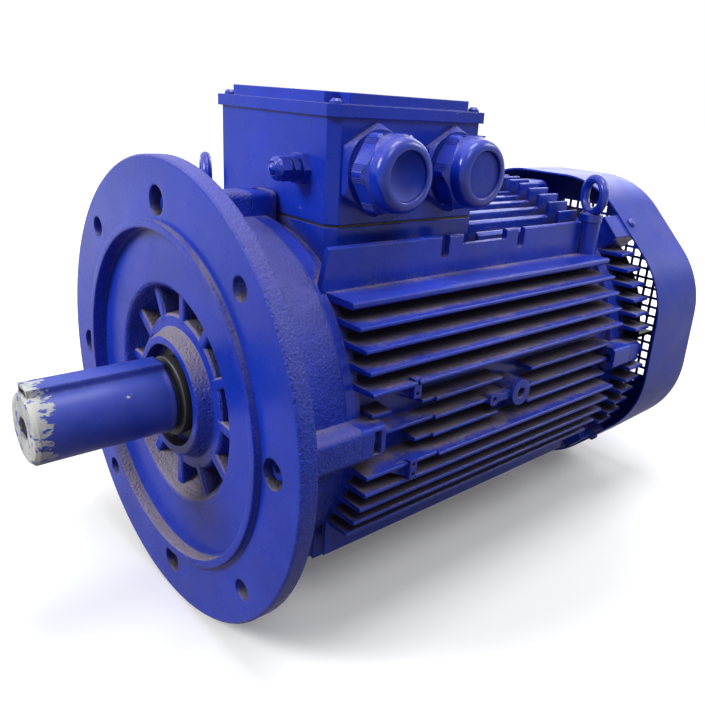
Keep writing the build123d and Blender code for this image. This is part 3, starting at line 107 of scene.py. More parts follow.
class NodeBoard:
    """Adds and joins the nodes of one node tree, and lays them out in rows."""

    COLUMNS = 12
    SPACING = (220, 260)

    def __init__(self, tree: bpy.types.NodeTree) -> None:
        """Keep the tree that the nodes go into.

        Args:
            tree: Node tree of a material, a world or a node group.
        """
        self.tree = tree
        self.count = 0

    def add(self, kind: str, values: dict[str | int, object] | None = None,
            **settings: object) -> bpy.types.Node:
        """Add a node.

        Args:
            kind: Blender's type name of the node.
            values: Input names or numbers, with a plain value or an output socket to join.
            settings: Attributes to set on the node itself.

        Returns:
            The new node.
        """
        node = self.tree.nodes.new(kind)
        row, column = divmod(self.count, self.COLUMNS)
        node.location = (self.SPACING[0] * column, -self.SPACING[1] * row)
        self.count += 1
        for name, value in settings.items():
            setattr(node, name, value)
        for key, value in (values or {}).items():
            self.join(value, node.inputs[key])
        return node

    def join(self, value: object, target: Socket) -> None:
        """Feed an input, by a link from a socket or by a plain value.

        Args:
            value: Output socket or plain value.
            target: Input that it goes to.
        """
        if isinstance(value, Socket):
            self.tree.links.new(value, target)
        else:
            target.default_value = value

    def math(self, operation: str, a: object, b: object, clamp: bool = False) -> Socket:
        """Add a math node and return its result.

        Args:
            operation: Name of the operation, such as MULTIPLY.
            a: First value or socket.
            b: Second value or socket.
            clamp: Whether the result is held between 0 and 1.

        Returns:
            The result socket.
        """
        node = self.add("ShaderNodeMath", {0: a, 1: b}, operation=operation, use_clamp=clamp)
        return node.outputs[0]

    def ramp(self, value: object, low: float, high: float, to_low: object = 0.0,
             to_high: object = 1.0) -> Socket:
        """Map a range of values smoothly onto another range.

        Args:
            value: Value or socket to map.
            low: Value that gives to_low.
            high: Value that gives to_high.
            to_low: Result at the low end.
            to_high: Result at the high end.

        Returns:
            The mapped socket.
        """
        node = self.add("ShaderNodeMapRange", {0: value, 1: low, 2: high, 3: to_low, 4: to_high},
                        interpolation_type="SMOOTHSTEP")
        return node.outputs[0]

    def noise(self, scale: object, detail: float = 3.0, vector: Socket | None = None,
              roughness: float = 0.55) -> Socket:
        """Add a noise texture.

        Args:
            scale: Features per metre.
            detail: Number of finer layers.
            vector: Coordinates to use in place of the plain Object ones.
            roughness: Weight of the finer layers.

        Returns:
            The noise value socket.
        """
        node = self.add("ShaderNodeTexNoise", {"Vector": vector or self.coordinates(), "Scale": scale,
                                               "Detail": detail, "Roughness": roughness})
        return node.outputs[0]

    def mix(self, factor: object, a: object, b: object) -> Socket:
        """Mix two colours.

        Args:
            factor: Share of the second colour.
            a: First colour or socket.
            b: Second colour or socket.

        Returns:
            The mixed colour socket.
        """
        node = self.add("ShaderNodeMix", data_type="RGBA", blend_type="MIX", clamp_factor=True)
        for number, value in ((0, factor), (6, a), (7, b)):
            self.join(value, node.inputs[number])
        return node.outputs[2]

    def coordinates(self) -> Socket:
        """Give the Object coordinates."""
        return self.add("ShaderNodeTexCoord").outputs["Object"]

    def component(self, vector: Socket, axis: str) -> Socket:
        """Give one component of a vector."""
        return self.add("ShaderNodeSeparateXYZ", {0: vector}).outputs[axis]

    def axis_distance(self) -> tuple[Socket, Socket]:
        """Find the distance from the shaft axis and the place along it.

        Returns:
            Sockets of the distance and of the place.
        """
        split = self.add("ShaderNodeSeparateXYZ", {0: self.coordinates()})
        flat = self.add("ShaderNodeCombineXYZ", {0: split.outputs["X"], 2: split.outputs["Z"]})
        length = self.add("ShaderNodeVectorMath", {0: flat.outputs[0]}, operation="LENGTH")
        return length.outputs["Value"], split.outputs["Y"]

    def openness(self, reach: object, samples: int) -> Socket:
        """Give the open share of the surroundings within a reach of the surface."""
        return self.add("ShaderNodeAmbientOcclusion", {"Distance": reach}, samples=samples).outputs["AO"]


def fresh_board(owner: bpy.types.Material | bpy.types.World) -> NodeBoard:
    """Clear the nodes of a material or world for new ones.

    Args:
        owner: Material or world.

    Returns:
        Board of its empty node tree.
    """
    owner.use_nodes = True
    owner.node_tree.nodes.clear()
    return NodeBoard(owner.node_tree)


def rgba(colour: Colour) -> tuple[float, float, float, float]:
    """Give a colour an opaque fourth value."""
    return (*colour, 1.0)


class EffectLibrary:
    """Node groups that several finishes share, each built once.

    A band is the value at which a mask starts and the value at which it is full. A scale counts
    features per metre.
    """

    RIDGE_TURN_BAND: Band = (0.97, 0.80)
    RIDGE_OPEN_BAND: Band = (0.55, 0.9)
    RIDGE_REACH = 0.006
    RUBBED_BAND: Band = (0.52, 0.66)

    PATCH_SCALE, FINE_SCALE, SPECK_SCALE = 26.0, 240.0, 1100.0
    EVEN_BAND: Band = (0.2, 0.8)
    PATCH_SHIFT, FINE_SHIFT = 0.12, 0.06
    LEDGE_BAND: Band = (0.15, 0.85)
    SHELTERED_BAND: Band = (0.62, 0.47)
    VALLEY_BAND: Band = (0.54, 0.24)
    FACING_BAND: Band = (-0.6, 0.5)
    UNDERSIDE_SHARE = 0.35
    FILM_BAND: Band = (0.35, 0.75)
    SPECK_GAIN: Band = (0.8, 1.15)
    SOIL: Colour = (0.32, 0.23, 0.16)
    SOIL_SHARE = 0.3
    # Painted shade: the near-black colour that dust is darkened towards in deep, closed-in places,
    # standing in for shade there.
    PAINTED_SHADE: Colour = (0.028, 0.022, 0.024)
    PAINTED_SHADE_BAND: Band = (0.66, 0.26)
    PAINTED_SHADE_SHARE = 0.92

    LUMPS_PER_GRAIN = 0.16

    def __init__(self) -> None:
        """Start with no groups built."""
        self.groups: dict[str, bpy.types.NodeTree] = {}

    def _start(self, name: str, inputs: Sequence[tuple[str, SocketKind, object]],
               outputs: Sequence[tuple[str, SocketKind]],
               ) -> tuple[NodeBoard, bpy.types.NodeOutputs, bpy.types.NodeInputs]:
        """Begin a node group with named sockets.

        Args:
            name: Name of the group.
            inputs: Name, kind and default of each input.
            outputs: Name and kind of each output.

        Returns:
            The board, the sockets of what the group is given, and the sockets of its results.
        """
        tree = bpy.data.node_groups.new(name, "ShaderNodeTree")
        for label, kind, default in inputs:
            socket = tree.interface.new_socket(label, in_out="INPUT", socket_type=kind.value)
            socket.default_value = default
        for label, kind in outputs:
            tree.interface.new_socket(label, in_out="OUTPUT", socket_type=kind.value)
        board = NodeBoard(tree)
        self.groups[name] = tree
        return board, board.add("NodeGroupInput").outputs, board.add("NodeGroupOutput").inputs

    def place(self, board: NodeBoard, name: str, values: dict[str, object]) -> bpy.types.NodeOutputs:
        """Put a group into a material.

        Args:
            board: Board of the material.
            name: Name of the group, which is also the name of the method that builds it.
            values: Values or sockets for the group's inputs.

        Returns:
            Sockets of the group's results.
        """
        if name not in self.groups:
            getattr(self, name)()
        return board.add("ShaderNodeGroup", values, node_tree=self.groups[name]).outputs

    def worn_edges(self) -> None:
        """Soft edge normal, and a mask of the ridges where paint rubs thin."""
        board, given, result = self._start(
            "worn_edges",
            [("Radius", SocketKind.FLOAT, 0.001), ("Amount", SocketKind.FLOAT, 0.5),
             ("Scale", SocketKind.FLOAT, 120.0)],
            [("Mask", SocketKind.FLOAT), ("Normal", SocketKind.VECTOR)])
        soft = board.add("ShaderNodeBevel", {"Radius": given["Radius"]}, samples=6).outputs[0]
        true_normal = board.add("ShaderNodeNewGeometry").outputs["True Normal"]
        facing = board.add("ShaderNodeVectorMath", {0: soft, 1: true_normal}, operation="DOT_PRODUCT")
        turned = board.ramp(facing.outputs["Value"], *self.RIDGE_TURN_BAND)
        open_sky = board.openness(self.RIDGE_REACH, 4)
        ridge = board.math("MULTIPLY", turned, board.ramp(open_sky, *self.RIDGE_OPEN_BAND))
        rubbed = board.ramp(board.noise(given["Scale"], 4.0, roughness=0.65), *self.RUBBED_BAND)
        worn = board.math("MULTIPLY", ridge, rubbed)
        board.join(board.math("MULTIPLY", worn, given["Amount"], clamp=True), result["Mask"])
        board.join(soft, result["Normal"])

    def dust_and_painted_shade(self) -> None:
        """Pale dust with ragged borders on ledges and in valleys, with painted shade that darkens it to
        near black where the surroundings close in.
        """
        board, given, result = self._start(
            "dust_and_painted_shade",
            [("Surface", SocketKind.COLOUR, (0.1, 0.1, 0.5, 1.0)),
             ("Dust", SocketKind.COLOUR, (0.4, 0.35, 0.34, 1.0)),
             ("Upward", SocketKind.FLOAT, 0.6), ("Crevice", SocketKind.FLOAT, 0.4),
             ("Film", SocketKind.FLOAT, 0.05), ("Open", SocketKind.FLOAT, 0.1),
             ("Reach", SocketKind.FLOAT, 0.02)],
            [("Colour", SocketKind.COLOUR), ("Mask", SocketKind.FLOAT)])
        height = board.component(board.add("ShaderNodeNewGeometry").outputs["Normal"], "Z")
        patches = board.noise(self.PATCH_SCALE, 5.0, roughness=0.62)
        fine = board.noise(self.FINE_SCALE, 3.0, roughness=0.7)
        specks = board.noise(self.SPECK_SCALE, 2.0, roughness=0.7)
        open_sky = board.openness(given["Reach"], 8)
        broad = board.ramp(patches, *self.EVEN_BAND, -self.PATCH_SHIFT, self.PATCH_SHIFT)
        narrow = board.ramp(fine, *self.EVEN_BAND, -self.FINE_SHIFT, self.FINE_SHIFT)
        ragged = board.math("ADD", open_sky, board.math("ADD", broad, narrow))

        lying = board.math("MULTIPLY", board.ramp(height, *self.LEDGE_BAND), given["Upward"])
        sheltered = board.ramp(ragged, *self.SHELTERED_BAND, given["Open"], 1.0)
        lying = board.math("MULTIPLY", lying, sheltered)
        facing = board.ramp(height, *self.FACING_BAND, self.UNDERSIDE_SHARE, 1.0)
        deep = board.math("MULTIPLY", board.ramp(ragged, *self.VALLEY_BAND), facing)
        deep = board.math("MULTIPLY", deep, given["Crevice"])
        film = board.math("MULTIPLY", board.ramp(patches, *self.FILM_BAND), given["Film"])
        total = board.math("ADD", board.math("MAXIMUM", lying, deep), film)
        gain = board.ramp(specks, *self.EVEN_BAND, *self.SPECK_GAIN)
        total = board.math("MULTIPLY", total, gain, clamp=True)

        soiled = board.mix(self.SOIL_SHARE, given["Dust"], rgba(self.SOIL))
        tint = board.mix(board.ramp(fine, *MIDTONES), given["Dust"], soiled)
        # Painted shade: where ambient occlusion finds the surroundings closed in, the dust is mixed
        # towards near black, standing in for shade deep in crevices.
        crevice_shade = board.ramp(open_sky, *self.PAINTED_SHADE_BAND, 0.0, self.PAINTED_SHADE_SHARE)
        dust_with_shade = board.mix(crevice_shade, tint, rgba(self.PAINTED_SHADE))
        board.join(board.mix(total, given["Surface"], dust_with_shade), result["Colour"])
        board.join(total, result["Mask"])

    def cast_grain(self) -> None:
        """Height of a sand-cast surface under paint, from fine grain and low lumps."""
        board, given, result = self._start(
            "cast_grain",
            [("Grain", SocketKind.FLOAT, 1.0), ("Lumps", SocketKind.FLOAT, 0.5),
             ("Scale", SocketKind.FLOAT, 420.0)],
            [("Height", SocketKind.FLOAT)])
        fine = board.noise(given["Scale"], 3.0, roughness=0.6)
        lumps = board.noise(board.math("MULTIPLY", given["Scale"], self.LUMPS_PER_GRAIN), 2.0)
        height = board.math("ADD", board.math("MULTIPLY", fine, given["Grain"]),
                            board.math("MULTIPLY", lumps, given["Lumps"]))
        board.join(height, result["Height"])

    def turned_lines(self) -> None:
        """Fine rings left by turning about the shaft axis."""
        board, given, result = self._start(
            "turned_lines", [("Scale", SocketKind.FLOAT, 1600.0)], [("Value", SocketKind.FLOAT)])
        radius, along = board.axis_distance()
        lines = board.add("ShaderNodeTexNoise", {"W": board.math("ADD", radius, along),
                                                 "Scale": given["Scale"], "Detail": 2.0},
                          noise_dimensions="1D")
        board.join(lines.outputs[0], result["Value"])


EFFECTS = EffectLibrary()


# ---- finishes ----


@dataclass(frozen=True)
class SurfaceFinish:
    """Named finish of a surface; each kind of finish fills in the shader in its own way."""

    name: str

    def sockets(self, board: NodeBoard) -> dict[str, object]:
        """Make the nodes that feed the shader.

        Args:
            board: Board of the material.

        Returns:
            Value or socket for each of the shader's inputs that the finish sets.
        """
        raise NotImplementedError

    def build(self) -> bpy.types.Material:
        """Make the material.

        Returns:
            The finished material.
        """
        material = bpy.data.materials.new(self.name)
        board = fresh_board(material)
        shader = board.add("ShaderNodeBsdfPrincipled", self.sockets(board))
        board.add("ShaderNodeOutputMaterial", {"Surface": shader.outputs[0]})
        return material


@dataclass(frozen=True)
class Enamel(SurfaceFinish):
    """Glossy enamel over metal, with the grain of the metal, rubbed edges, scuffs, dust and painted shade
    in deep crevices.
    """

    colour: Colour = (0.005, 0.036, 0.49)
    shades: Band = (0.86, 1.08)
    shade_scale: float = 14.0
    rubbed_colour: Colour = (0.13, 0.17, 0.45)
    wear: float = 0.5
    scuffs: float = 0.3
    scuff_scale: float = 75.0
    scuff_stretch: Point = (0.6, 0.6, 1.5)
    scuff_band: Band = (0.655, 0.70)
    roughness: float = 0.22
    dusty_roughness: float = 0.92
    smear_scale: float = 40.0
    smear_band: Band = (0.35, 0.7)
    smear: float = 0.05
    specular: float = 0.24
    dust_colour: Colour = (0.40, 0.325, 0.285)
    upward: float = 0.55
    crevice: float = 0.5
    film: float = 0.03
    open_dust: float = 0.05
    reach: float = 0.02
    dusty_radius: float = 0.0
    dusty_border: float = 0.002
    inner_dust: float = 0.85
    edge_radius: float = 0.0012
    grain: float = 0.35
    lumps: float = 0.5
    grain_scale: float = 420.0
    relief: float = 0.0003
    machined: bool = False
    machined_band: Band = (0.9, 0.99)
    machined_relief: float = 0.06

    def paint(self, board: NodeBoard, ridges: Socket) -> Socket:
        """Make the paint's colour, in two close shades that are rubbed pale on ridges and scuffs.

        Args:
            board: Board of the material.
            ridges: Mask of the worn ridges.

        Returns:
            Colour socket.
        """
        tone = board.ramp(board.noise(self.shade_scale), *MIDTONES)
        dark, light = (rgba(tuple(c * shade for c in self.colour)) for shade in self.shades)
        paint = board.mix(tone, dark, light)
        streaks = board.add("ShaderNodeMapping", {"Vector": board.coordinates(),
                                                  "Scale": self.scuff_stretch}).outputs[0]
        scuffed = board.ramp(board.noise(self.scuff_scale, 6.0, streaks, 0.75),
                             *self.scuff_band, 0.0, self.scuffs)
        bared = board.math("MAXIMUM", ridges, scuffed)
        return board.mix(bared, paint, rgba(self.rubbed_colour))

    def lying_dust(self, board: NodeBoard) -> Socket | float:
        """Share of dust on open ledges, more within a radius of the shaft axis.

        Args:
            board: Board of the material.

        Returns:
            Share socket, or the plain share for a piece without such a place.
        """
        if not self.dusty_radius:
            return self.open_dust
        radius, _ = board.axis_distance()
        limit = self.dusty_radius
        return board.ramp(radius, limit, limit - self.dusty_border, self.open_dust, self.inner_dust)

    def surface_height(self, board: NodeBoard) -> Socket:
        """Relief under the paint, left out on faces that were turned flat across the shaft axis.

        Args:
            board: Board of the material.

        Returns:
            Height socket.
        """
        height = EFFECTS.place(board, "cast_grain", {
            "Grain": self.grain, "Lumps": self.lumps, "Scale": self.grain_scale})["Height"]
        if not self.machined:
            return height
        normal = board.add("ShaderNodeNewGeometry").outputs["True Normal"]
        forward = board.math("MULTIPLY", board.component(normal, "Y"), -1.0)
        share = board.ramp(forward, *self.machined_band, 1.0, self.machined_relief)
        return board.math("MULTIPLY", height, share)

    def sockets(self, board: NodeBoard) -> dict[str, object]:
        """Make the nodes that feed the shader.

        Args:
            board: Board of the material.

        Returns:
            Value or socket for each of the shader's inputs that the finish sets.
        """
        edges = EFFECTS.place(board, "worn_edges", {"Radius": self.edge_radius, "Amount": self.wear})
        # Dust, with painted shade that darkens it in deep crevices.
        dust = EFFECTS.place(board, "dust_and_painted_shade", {
            "Surface": self.paint(board, edges["Mask"]), "Dust": rgba(self.dust_colour),
            "Upward": self.upward, "Crevice": self.crevice, "Film": self.film,
            "Open": self.lying_dust(board), "Reach": self.reach})
        bump = board.add("ShaderNodeBump", {
            "Height": self.surface_height(board), "Distance": self.relief, "Strength": 1.0,
            "Normal": edges["Normal"]})
        smear = board.ramp(board.noise(self.smear_scale), *self.smear_band, 0.0, self.smear)
        dulled = board.ramp(dust["Mask"], 0.0, 0.8, self.roughness, self.dusty_roughness)
        return {"Base Color": dust["Colour"], "Roughness": board.math("ADD", dulled, smear),
                "Normal": bump.outputs[0], "Specular IOR Level": self.specular}


@dataclass(frozen=True)
class FlakedCoat(SurfaceFinish):
    """Paint that has flaked off a pale plastic sleeve, most of all round its end."""

    colour: Colour = (0.016, 0.048, 0.40)
    pale_colour: Colour = (0.055, 0.085, 0.50)
    bare: Colour = (0.62, 0.63, 0.60)
    soiled: Colour = (0.40, 0.43, 0.44)
    dust_colour: Colour = (0.30, 0.30, 0.34)
    end_y: float = -0.1123
    end_band: Band = (0.002, 0.028)
    flake_scale: float = 150.0
    flake_stretch: Point = (1.0, 0.45, 1.0)
    flake_limit: float = 0.70
    end_flaking: float = 0.30
    flake_sharpness: float = 38.0
    coat_thickness: float = 0.00012
    edge_radius: float = 0.004
    roughness: Band = (0.36, 0.62)
    specular: float = 0.3

    def flaked(self, board: NodeBoard) -> Socket:
        """Find where the coat is gone.

        Args:
            board: Board of the material.

        Returns:
            Mask socket.
        """
        where = board.coordinates()
        depth = board.math("SUBTRACT", board.component(where, "Y"), self.end_y)
        near_end = board.ramp(depth, *self.end_band, 1.0, 0.0)
        streaks = board.add("ShaderNodeMapping", {"Vector": where, "Scale": self.flake_stretch})
        flakes = board.noise(self.flake_scale, 5.0, streaks.outputs[0], 0.68)
        limit = board.math("SUBTRACT", self.flake_limit,
                           board.math("MULTIPLY", near_end, self.end_flaking))
        return board.math("MULTIPLY", board.math("SUBTRACT", flakes, limit), self.flake_sharpness,
                          clamp=True)

    def sockets(self, board: NodeBoard) -> dict[str, object]:
        """Make the nodes that feed the shader.

        Args:
            board: Board of the material.

        Returns:
            Value or socket for each of the shader's inputs that the finish sets.
        """
        edges = EFFECTS.place(board, "worn_edges", {
            "Radius": self.edge_radius, "Amount": 0.25, "Scale": 260.0})
        lost = board.math("ADD", self.flaked(board), edges["Mask"], clamp=True)
        tone = board.ramp(board.noise(22.0, 4.0), *MIDTONES)
        paint = board.mix(tone, rgba(self.colour), rgba(self.pale_colour))
        handled = board.ramp(board.noise(60.0, 4.0), 0.4, 0.72)
        plastic = board.mix(handled, rgba(self.bare), rgba(self.soiled))
        # Dust, with painted shade that darkens it in deep crevices.
        dust = EFFECTS.place(board, "dust_and_painted_shade", {
            "Surface": board.mix(lost, paint, plastic), "Dust": rgba(self.dust_colour),
            "Upward": 0.22, "Crevice": 0.2, "Film": 0.06})
        bump = board.add("ShaderNodeBump", {
            "Height": board.math("MULTIPLY", lost, -1.0), "Distance": self.coat_thickness,
            "Strength": 1.0, "Normal": edges["Normal"]})
        dulled = board.math("ADD", lost, dust["Mask"])
        return {"Base Color": dust["Colour"], "Roughness": board.ramp(dulled, 0.0, 1.0, *self.roughness),
                "Normal": bump.outputs[0], "Specular IOR Level": self.specular}


@dataclass(frozen=True)
class BareMetal(SurfaceFinish):
    """Turned or ground metal with fine rings and slight staining."""

    colour: Colour = (0.55, 0.55, 0.56)
    stain: Colour = (0.28, 0.26, 0.25)
    stain_scale: float = 55.0
    stain_band: Band = (0.5, 0.75)
    stain_share: float = 0.55
    roughness: float = 0.32
    roughness_swing: Band = (-0.06, 0.08)
    lines: float = 1600.0
    relief: float = 0.00002
    grease: Colour = (0.012, 0.014, 0.04)
    grimy_span: Band | None = None
    grimy_border: float = 0.003

    def grime(self, board: NodeBoard) -> Socket | float:
        """Mask of the greasy stretch of a shaft beside its seal.

        Args:
            board: Board of the material.

        Returns:
            Mask socket, or 0 for a piece that has no such stretch.
        """
        if self.grimy_span is None:
            return 0.0
        along = board.component(board.coordinates(), "Y")
        start, end = self.grimy_span
        return board.math("MULTIPLY", board.ramp(along, start, start + self.grimy_border),
                          board.ramp(along, end, end - self.grimy_border))

    def sockets(self, board: NodeBoard) -> dict[str, object]:
        """Make the nodes that feed the shader.

        Args:
            board: Board of the material.

        Returns:
            Value or socket for each of the shader's inputs that the finish sets.
        """
        lines = EFFECTS.place(board, "turned_lines", {"Scale": self.lines})["Value"]
        stain = board.ramp(board.noise(self.stain_scale, 4.0), *self.stain_band, 0.0, self.stain_share)
        grime = self.grime(board)
        stained = board.mix(stain, rgba(self.colour), rgba(self.stain))
        swing = board.ramp(lines, *MIDTONES, *self.roughness_swing)
        bump = board.add("ShaderNodeBump", {"Height": lines, "Distance": self.relief, "Strength": 0.6})
        return {"Base Color": board.mix(grime, stained, rgba(self.grease)),
                "Roughness": board.math("ADD", swing, self.roughness),
                "Metallic": board.math("SUBTRACT", 1.0, grime), "Normal": bump.outputs[0]}


@dataclass(frozen=True)
class Moulded(SurfaceFinish):
    """Moulded rubber or plastic with a fine matt grain, dust and painted shade in deep crevices."""

    colour: Colour
    roughness: float = 0.6
    dusty_roughness: float = 0.95
    grain_scale: float = 1500.0
    relief: float = 0.00006
    dust: float = 0.3

    def sockets(self, board: NodeBoard) -> dict[str, object]:
        """Make the nodes that feed the shader.

        Args:
            board: Board of the material.

        Returns:
            Value or socket for each of the shader's inputs that the finish sets.
        """
        # Dust, with painted shade that darkens it in deep crevices.
        dust = EFFECTS.place(board, "dust_and_painted_shade", {
            "Surface": rgba(self.colour), "Upward": self.dust, "Crevice": self.dust, "Film": 0.08})
        grain = EFFECTS.place(board, "cast_grain", {
            "Grain": 0.8, "Lumps": 0.2, "Scale": self.grain_scale})["Height"]
        bump = board.add("ShaderNodeBump", {"Height": grain, "Distance": self.relief, "Strength": 0.8})
        gloss = board.ramp(dust["Mask"], 0.0, 0.8, self.roughness, self.dusty_roughness)
        return {"Base Color": dust["Colour"], "Roughness": gloss, "Normal": bump.outputs[0]}


@dataclass(frozen=True)
class StackedSheets(SurfaceFinish):
    """Laminated core: thin sheets seen edge on, across the shaft axis."""

    colour: Colour = (0.20, 0.21, 0.23)
    gap_shade: float = 0.6
    sheets_per_metre: float = 1900.0
    turn_per_wave: float = 6.28
    roughness: Band = (0.4, 0.6)

    def sockets(self, board: NodeBoard) -> dict[str, object]:
        """Make the nodes that feed the shader.

        Args:
            board: Board of the material.

        Returns:
            Value or socket for each of the shader's inputs that the finish sets.
        """
        wave = board.add("ShaderNodeTexWave", {
            "Vector": board.coordinates(), "Scale": self.sheets_per_metre / self.turn_per_wave,
            "Distortion": 0.3}, bands_direction="Y").outputs[1]
        gap = rgba(tuple(c * self.gap_shade for c in self.colour))
        bump = board.add("ShaderNodeBump", {"Height": wave, "Distance": 0.0001, "Strength": 0.7})
        return {"Base Color": board.mix(wave, gap, rgba(self.colour)),
                "Roughness": board.ramp(board.noise(80.0), *MIDTONES, *self.roughness),
                "Metallic": 0.8, "Normal": bump.outputs[0]}


@dataclass(frozen=True)
class BoundWire(SurfaceFinish):
    """Varnished copper end turns, as strands that run round the shaft."""

    colour: Colour = (0.42, 0.13, 0.05)
    varnish: Colour = (0.20, 0.07, 0.03)
    strands_per_metre: float = 900.0
    relief: float = 0.0008
    roughness: Band = (0.3, 0.5)

    def sockets(self, board: NodeBoard) -> dict[str, object]:
        """Make the nodes that feed the shader.

        Args:
            board: Board of the material.

        Returns:
            Value or socket for each of the shader's inputs that the finish sets.
        """
        strands = EFFECTS.place(board, "turned_lines", {"Scale": self.strands_per_metre})["Value"]
        varnish = board.ramp(board.noise(45.0, 4.0), 0.35, 0.7)
        bump = board.add("ShaderNodeBump", {"Height": strands, "Distance": self.relief, "Strength": 0.9})
        return {"Base Color": board.mix(varnish, rgba(self.colour), rgba(self.varnish)),
                "Roughness": board.ramp(varnish, 0.0, 1.0, *self.roughness),
                "Normal": bump.outputs[0]}


class Finish(Enum):
    """Every finish on the motor."""

    CASTING = Enamel(
        "enamel_on_casting", edge_radius=0.0017, grain=0.3, lumps=0.8, relief=0.0005, reach=0.03,
        crevice=0.9, upward=0.95, wear=0.7)
    ROUGH_CASTING = Enamel(
        "enamel_on_rough_casting", edge_radius=0.003, grain=1.3, lumps=0.9, grain_scale=430.0,
        relief=0.0016, reach=0.03, crevice=0.8, upward=0.95, open_dust=0.25, roughness=0.24,
        specular=0.22, dust_colour=(0.42, 0.36, 0.36), machined=True, dusty_radius=0.1485)
    SHEET = Enamel(
        "enamel_on_sheet", colour=(0.007, 0.034, 0.42), edge_radius=0.0008, grain=0.04, lumps=0.5,
        grain_scale=160.0, relief=0.00018, roughness=0.40, upward=0.45, crevice=0.5, film=0.07,
        wear=0.6, specular=0.2)
    BOX = Enamel(
        "enamel_on_box", edge_radius=0.0015, grain=0.2, lumps=0.3, roughness=0.26, upward=0.85,
        crevice=0.5, open_dust=0.55, scuffs=0.7)
    FITTING = Enamel(
        "enamel_on_fittings", edge_radius=0.0006, grain=0.05, lumps=0.5, relief=0.00012,
        roughness=0.18, upward=0.7, crevice=0.5, open_dust=0.2, wear=0.8, specular=0.4)
    PLUG = Enamel(
        "enamel_on_plugs", edge_radius=0.0006, grain=0.6, lumps=0.2, grain_scale=1300.0,
        relief=0.00025, roughness=0.45, film=0.30, open_dust=0.5, dust_colour=(0.20, 0.19, 0.28))
    SLEEVE = FlakedCoat("flaked_coat_on_sleeve")
    STEEL = BareMetal("turned_steel")
    SHAFT = BareMetal("turned_shaft_steel", grimy_span=(-0.006, 0.02))
    GROUND = BareMetal("ground_bearing_steel", colour=(0.66, 0.66, 0.68), roughness=0.18, lines=2600.0)
    PLATED = BareMetal("plated_steel", colour=(0.60, 0.60, 0.58), roughness=0.38)
    BRASS = BareMetal("plain_brass", colour=(0.62, 0.40, 0.13), stain=(0.30, 0.17, 0.06), roughness=0.3)
    ALUMINIUM = BareMetal("cast_aluminium", colour=(0.72, 0.73, 0.74), roughness=0.42, lines=500.0)
    RUBBER = Moulded("black_rubber", (0.012, 0.013, 0.02), roughness=0.55, dust=0.12)
    GASKET = Moulded("black_gasket", (0.006, 0.006, 0.007), roughness=0.7, dust=0.03)
    BOARD = Moulded("board_moulding", (0.09, 0.055, 0.035), roughness=0.5, dust=0.1)
    FAN = Moulded("fan_moulding", (0.03, 0.03, 0.032), roughness=0.5, dust=0.45)
    CORE = StackedSheets("laminated_core")
    WINDING = BoundWire("varnished_windings")

    def material(self) -> bpy.types.Material:
        """Give the finish's material, made on first use."""
        return bpy.data.materials.get(self.value.name) or self.value.build()


# ---- mesh building blocks ----


def add_object(name: str, data: bpy.types.ID) -> bpy.types.Object:
    """Put a new object into the scene.

    Args:
        name: Name of the object.
        data: Its mesh, camera or lamp.

    Returns:
        The object, at the origin.
    """
    made = bpy.data.objects.new(name, data)
    bpy.context.collection.objects.link(made)
    return made


class Workpiece:
    """One mesh under construction, made with bmesh operators."""

    def __init__(self) -> None:
        """Start with an empty mesh."""
        self.bm = bmesh.new()

    def move(self, matrix: Matrix) -> None:
        """Move, turn or scale the whole mesh."""
        bmesh.ops.transform(self.bm, matrix=matrix, verts=self.bm.verts[:])

    def mesh(self, name: str, material: bpy.types.Material) -> bpy.types.Mesh:
        """Turn the work into a mesh and let the work go.

        Args:
            name: Name of the mesh.
            material: Its material.

        Returns:
            The mesh.
        """
        mesh = bpy.data.meshes.new(name)
        self.bm.to_mesh(mesh)
        self.bm.free()
        mesh.materials.append(material)
        return mesh

    def finish(self, name: str, body: Body, slot: Slot, finish: Finish, smooth: float = 32.0,
               stands_for: Sequence[str] = ()) -> bpy.types.Object:
        """Close the work: make the object, dress it and hang it on its body.

        Args:
            name: Name of the piece.
            body: Body that the piece rides on.
            slot: Material slot of the record; not used.
            finish: Finish of the piece.
            smooth: Largest turn, in degrees, that is shaded smooth.
            stands_for: CAD nodes that the piece replaces.

        Returns:
            The finished object.
        """
        bmesh.ops.recalc_face_normals(self.bm, faces=self.bm.faces[:])
        for face in self.bm.faces:
            face.smooth = True
        for edge in self.bm.edges:
            edge.smooth = not edge.is_manifold or edge.calc_face_angle(0.0) < math.radians(smooth)
        piece = add_object(name, self.mesh(name, finish.material()))
        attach(piece, body.value)
        if stands_for:
            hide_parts(*stands_for)
        LOG.info("%s: %d faces on %s", name, len(piece.data.polygons), body.value)
        return piece


def axis_frame(origin: Sequence[float], outward: Sequence[float],
               upward: Sequence[float] = (0, 0, 1)) -> Matrix:
    """Frame whose local Z points outward and whose local X is as near upward as it can be.

    Args:
        origin: Place of the frame.
        outward: Direction of local Z.
        upward: Direction that local X leans to.

    Returns:
        The matrix of the frame.
    """
    z = Vector(outward).normalized()
    x = (Vector(upward) - z * Vector(upward).dot(z)).normalized()
    y = z.cross(x)
    return Matrix.Translation(Vector(origin)) @ Matrix((x, y, z)).transposed().to_4x4()


# ---- sub-assemblies ----


